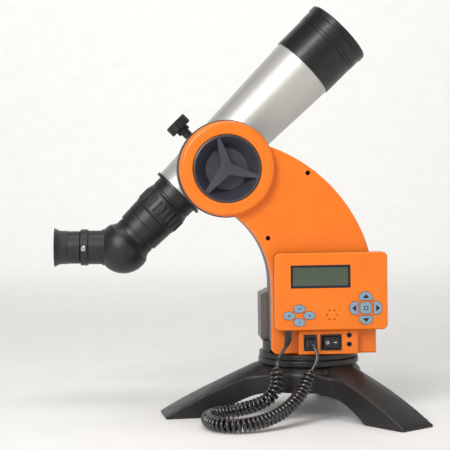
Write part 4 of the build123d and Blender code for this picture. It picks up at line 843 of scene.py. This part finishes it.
def front_prism(outline, front, back, holes=()):
    """A solid between two depths in Y from an outline in X and Z, with holes of the same kind."""
    curve = bpy.data.curves.new("outline", "CURVE")
    curve.dimensions = "2D"
    curve.fill_mode = "BOTH"
    curve.extrude = abs(back - front) / 2 * MM
    for loop in (outline, *holes):
        spline = curve.splines.new("POLY")
        spline.points.add(len(loop) - 1)
        for spot, (x, z) in zip(spline.points, loop):
            spot.co = (x * MM, z * MM, 0.0, 1.0)
        spline.use_cyclic_u = True
    holder = bpy.data.objects.new("outline", curve)
    bpy.context.scene.collection.objects.link(holder)
    bpy.context.view_layer.update()
    flat = bpy.data.meshes.new_from_object(holder.evaluated_get(bpy.context.evaluated_depsgraph_get()))
    bpy.data.objects.remove(holder)
    solid = bmesh.new()
    solid.from_mesh(flat)
    bmesh.ops.remove_doubles(solid, verts=solid.verts, dist=2e-6)
    bmesh.ops.recalc_face_normals(solid, faces=solid.faces)
    stood_up = Matrix.Rotation(math.pi / 2, 4, "X")
    return to_mesh(solid, Matrix.Translation((0, (front + back) / 2 * MM, 0)) @ stood_up)


def rounded(middle, size, radius, steps=5):
    """The outline of a rectangle with rounded corners."""
    out = []
    for k, (sx, sz) in enumerate(((1, 1), (-1, 1), (-1, -1), (1, -1))):
        cx = middle[0] + sx * (size[0] / 2 - radius)
        cz = middle[1] + sz * (size[1] / 2 - radius)
        for i in range(steps + 1):
            a = math.pi / 2 * (k + i / steps)
            out.append((cx + radius * math.cos(a), cz + radius * math.sin(a)))
    return out


def oval(middle, size, steps=28):
    """The outline of an ellipse."""
    turns = [2 * math.pi * k / steps for k in range(steps)]
    half_x, half_z = size[0] / 2, size[1] / 2
    return [(middle[0] + half_x * math.cos(a), middle[1] + half_z * math.sin(a)) for a in turns]


inner_size = (SCREEN_SIZE[0] - 2 * BORDER, SCREEN_SIZE[1] - 2 * BORDER)
border = front_prism(
    rounded(SCREEN, SCREEN_SIZE, 0.8), *BORDER_DEPTHS, [rounded(SCREEN, inner_size, 1.0)]
)
finished("lcd_border", border, border_ink, ["lcd_window"])
polariser = front_prism(rounded(SCREEN, inner_size, 0.4), *POLARISER_DEPTHS)
finished("lcd_polariser", polariser, display_green, body="controller")

# %% [markdown]
# ## Marks on the keys and the rocker
# The marks stand 0.08 mm proud of the keys and 0.1 mm proud of the rocker. The pad's keys have a
# triangle each; the others have plain generic marks: two bars, a ring, a dot and a square ring. The
# rocker has a ring and a bar.

# %% Printed marks
KEY_FACE = PANEL_FRONT - 1.2
MARK_DEPTHS = (KEY_FACE - 0.08, KEY_FACE + 0.1)
PAD = (49.8, 107.1)
PAD_MARK_FROM = 11.4
CLUSTER = (-14.8, 100.8)
CLUSTER_STEP = (9.8, 6.5)


def turned_outline(points, middle, angle):
    """An outline turned about the origin and moved to its middle."""
    c, s = math.cos(angle), math.sin(angle)
    return [(middle[0] + x * c - z * s, middle[1] + x * s + z * c) for x, z in points]


triangle = [(-1.7, -3.1), (2.2, 0.0), (-1.7, 3.1)]
for k, name in enumerate(ARROWS):
    angle = math.pi / 2 * k
    middle = (PAD[0] + PAD_MARK_FROM * math.cos(angle), PAD[1] + PAD_MARK_FROM * math.sin(angle))
    mark = front_prism(turned_outline(triangle, middle, angle), *MARK_DEPTHS)
    finished(f"{name}_mark", mark, black_ink, body=body_of[name])

x, z = CLUSTER
dx, dz = CLUSTER_STEP
key_marks = {
    "key_top": [rounded((x, z + dz), (3.6, 0.8), 0.35)],
    "key_left": [oval((x - dx, z), (2.4, 2.4)), oval((x - dx, z), (1.2, 1.2))],
    "key_right": [rounded((x + dx, z), (0.8, 2.8), 0.35)],
    "key_bottom": [oval((x, z - dz), (1.4, 1.4))],
    "select_key": [rounded(PAD, (4.0, 4.0), 0.6), rounded(PAD, (2.6, 2.6), 0.3)],
}
for name, (outer, *inner) in key_marks.items():
    mark = front_prism(outer, *MARK_DEPTHS, inner)
    finished(f"{name}_mark", mark, black_ink, body=body_of[name])

ROCKER_PIVOT = (16.7, -45.0, 73.5)
ROCKER_TILT = math.radians(7.0)
ROCKER_FACE = -2.6
ROCKER_MARK_FROM = 3.9  # from the pivot to the middle of each mark
rocker_place = Matrix.Translation(Vector(ROCKER_PIVOT) * MM) @ Matrix.Rotation(ROCKER_TILT, 4, "Z")
ring_mark = [oval((0, 0), (3.2, 3.2)), oval((0, 0), (2.1, 2.1))]
bar_mark = [rounded((0, 0), (3.0, 0.8), 0.2)]
marks = []
for side, loops in ((-1, ring_mark), (1, bar_mark)):
    face = Matrix.Translation((side * ROCKER_MARK_FROM * MM, ROCKER_FACE * MM, 0))
    face = face @ Matrix.Rotation(-side * ROCKER_TILT, 4, "Z")
    mark = front_prism(loops[0], -0.1, 0.1, loops[1:])
    mark.transform(rocker_place @ face)
    marks.append(mark)
finished("rocker_marks", together(*marks), white_ink, body="rocker")

# %% [markdown]
# ## Plug, jack springs and strain relief
# The plug has a stepped nose, a latch lever under it and a moulded boot round the cord. Six gold wires
# stand under the roof of the jack. The strain relief is a rubber sleeve, grooved where it tapers.

# %% Plug, springs and strain relief
JACK = (-3.4, 73.4)
HOUSING_FRONT = -46.0
PLUG_SIZE = (9.6, 7.6)
PLUG_BACK = -56.0
PLUG_FRONT = HOUSING_FRONT + 10.0
PLUG_EDGE = 0.35
SPRINGS, SPRING_STEP = 6, 1.2
SPRING_LENGTH, SPRING_WIDTH, SPRING_DEPTH = 9.0, 0.35, 0.14
jx, jz = JACK
parts = [
    front_prism(rounded(JACK, PLUG_SIZE, 0.5), PLUG_BACK + 4.5, PLUG_FRONT),
    front_prism(rounded((jx, jz + 0.6), (8.0, 5.6), 1.2), PLUG_BACK + 1.5, PLUG_BACK + 5.0),
    front_prism(rounded((jx, jz - 3.4), (3.6, 0.9), 0.3), PLUG_BACK + 2.0, PLUG_BACK + 9.0),
]
boot_profile = [(1.5, -1.0), (2.3, -1.0), (2.9, 2.2), (2.9, 4.0), (1.5, 4.0)]
boot = to_mesh(lathe(eased(boot_profile, 0.4), 40), axes((jx, PLUG_BACK, jz), (1, 0, 0), (0, 1, 0)))
plug_mesh = together(*[softened(part, PLUG_EDGE) for part in parts], boot)
plug = finished("plug", plug_mesh, plug_polycarbonate, ["modular_plug"])

spring_spots = [(jx - 3.0 + SPRING_STEP * k, HOUSING_FRONT + 5.5, jz + 4.05) for k in range(SPRINGS)]
spring_places = [(spot, (math.pi / 2, math.pi / 2, 0.0)) for spot in spring_spots]
spring = rib(SPRING_LENGTH, SPRING_WIDTH, SPRING_DEPTH, sides=8)
springs = set_out(spring, spring_places, gold_plate)
finished("jack_springs", springs, gold_plate, body="azimuth")

RELIEF_TOP = (-25.5, -50.0, 88.2)
RELIEF_BEND = (-25.5, -50.0, 77.0)
RELIEF_GROOVES = 3
sleeve_profile = [(1.72, 0.0), (3.4, 0.0), (3.4, 11.2), (1.72, 11.2)]
sleeve = to_mesh(lathe(eased(sleeve_profile, 0.3), 48), axes(RELIEF_TOP, (1, 0, 0), (0, 0, -1)))
tip_axis = Vector(LEAD_OUT[0]) - Vector(RELIEF_BEND)
tip_length = tip_axis.length
tip_profile = [(1.72, -1.0), (3.3, -1.0)]
for k in range(RELIEF_GROOVES):
    low = 0.4 + k * (tip_length - 0.6) / RELIEF_GROOVES
    wide = 3.36 - 0.3 * k
    tip_profile += [(wide, low), (wide - 0.1, low + 1.0)]
    tip_profile += [(wide - 0.7, low + 1.1), (wide - 0.7, low + 1.55)]
tip_profile += [(2.5, tip_length - 0.3), (2.3, tip_length), (1.72, tip_length)]
tip_place = axes(RELIEF_BEND, Vector((0, 1, 0)).cross(tip_axis), tip_axis)
tip = to_mesh(lathe(eased(tip_profile, 0.15), 48), tip_place)
finished("strain_relief_shown", together(sleeve, tip), eyecup_rubber, ["strain_relief"])

# %% [markdown]
# ## Stage
# A plain pale floor that curves up into a wall all the way round, like a bowl, so that every side of
# the object has the same pale ground behind it. One big soft light hangs overhead, the key light is
# at the front left with a weak one opposite it, and two lamps face the wall, front and back. The object
# is dark and glossy in places, so the softboxes are large: their reflections are what draws the tube,
# the ball and the black cap.

# %% Stage and light
floor_finish, floor_tree, floor_shader, floor_place = new_finish("pale_paper", {"Roughness": 0.85})
paper = noise(floor_tree, floor_place, 40.0, 2.0)
paper_colour = two_tone(floor_tree, spread(floor_tree, paper, 0.0, 1.0), "#f4f3f1", "#f1f0ee")
floor_tree.links.new(paper_colour, floor_shader.inputs["Base Color"])
STAGE_RADIUS, STAGE_BEND, STAGE_HEIGHT = 3.4, 1.0, 2.6
STAGE_SIDES, STAGE_BEND_STEPS = 96, 12
STAGE_MIDDLE_SHARE = 0.5  # how far out the middle disc of the flat floor reaches
WORLD_STRENGTH = 0.24
flat = STAGE_RADIUS - STAGE_BEND
outline = [(0.0, 0.0), (flat * STAGE_MIDDLE_SHARE, 0.0)]
for k in range(STAGE_BEND_STEPS + 1):
    a = math.pi / 2 * k / STAGE_BEND_STEPS
    outline.append((flat + STAGE_BEND * math.sin(a), STAGE_BEND * (1 - math.cos(a))))
outline.append((STAGE_RADIUS, STAGE_HEIGHT))
bowl = bmesh.new()
for (r0, z0), (r1, z1) in zip(outline, outline[1:]):
    for k in range(STAGE_SIDES):
        a0, a1 = 2 * math.pi * k / STAGE_SIDES, 2 * math.pi * (k + 1) / STAGE_SIDES
        corners = [(r0, a0, z0), (r1, a0, z1), (r1, a1, z1), (r0, a1, z0)]
        corners = [(r * math.cos(a), r * math.sin(a), z) for r, a, z in corners]
        bowl.faces.new([bowl.verts.new(c) for c in dict.fromkeys(corners)])
bmesh.ops.remove_doubles(bowl, verts=bowl.verts, dist=1e-5)
floor_mesh = to_mesh(bowl)
floor_mesh.materials.append(floor_finish)
floor_mesh.polygons.foreach_set("use_smooth", [True] * len(floor_mesh.polygons))
floor = bpy.data.objects.new("floor", floor_mesh)
bpy.context.scene.collection.objects.link(floor)

world = bpy.data.worlds.new("studio")
world.use_nodes = True
world.node_tree.nodes["Background"].inputs["Color"].default_value = linear("#f6f6f7")
world.node_tree.nodes["Background"].inputs["Strength"].default_value = WORLD_STRENGTH
bpy.context.scene.world = world


def softbox(name, place, target, size, power):
    """A rectangular area light at a place, facing a target. Size in metres, power in watts."""
    data = bpy.data.lights.new(name, "AREA")
    data.shape = "RECTANGLE"
    data.size, data.size_y = size
    data.energy = power
    light = bpy.data.objects.new(name, data)
    facing = (Vector(target) - Vector(place)).to_track_quat("-Z", "Y").to_matrix().to_4x4()
    light.matrix_world = Matrix.Translation(place) @ facing
    bpy.context.scene.collection.objects.link(light)


MIDDLE = (-0.06, 0.0, 0.2)
softbox("overhead", (0.0, -0.1, 1.6), MIDDLE, (1.0, 0.8), 7.5)
softbox("key", (-0.78, -1.15, 0.95), MIDDLE, (0.7, 0.9), 16.5)
softbox("right", (1.3, -0.7, 0.45), MIDDLE, (0.5, 0.9), 2.5)
softbox("wall", (0.0, 1.9, 2.3), (0.0, 3.4, 0.6), (2.4, 0.5), 34.0)
softbox("opposite_wall", (0.0, -1.9, 2.3), (0.0, -3.4, 0.6), (2.4, 0.5), 12.0)
bpy.context.scene.view_settings.view_transform = "Standard"
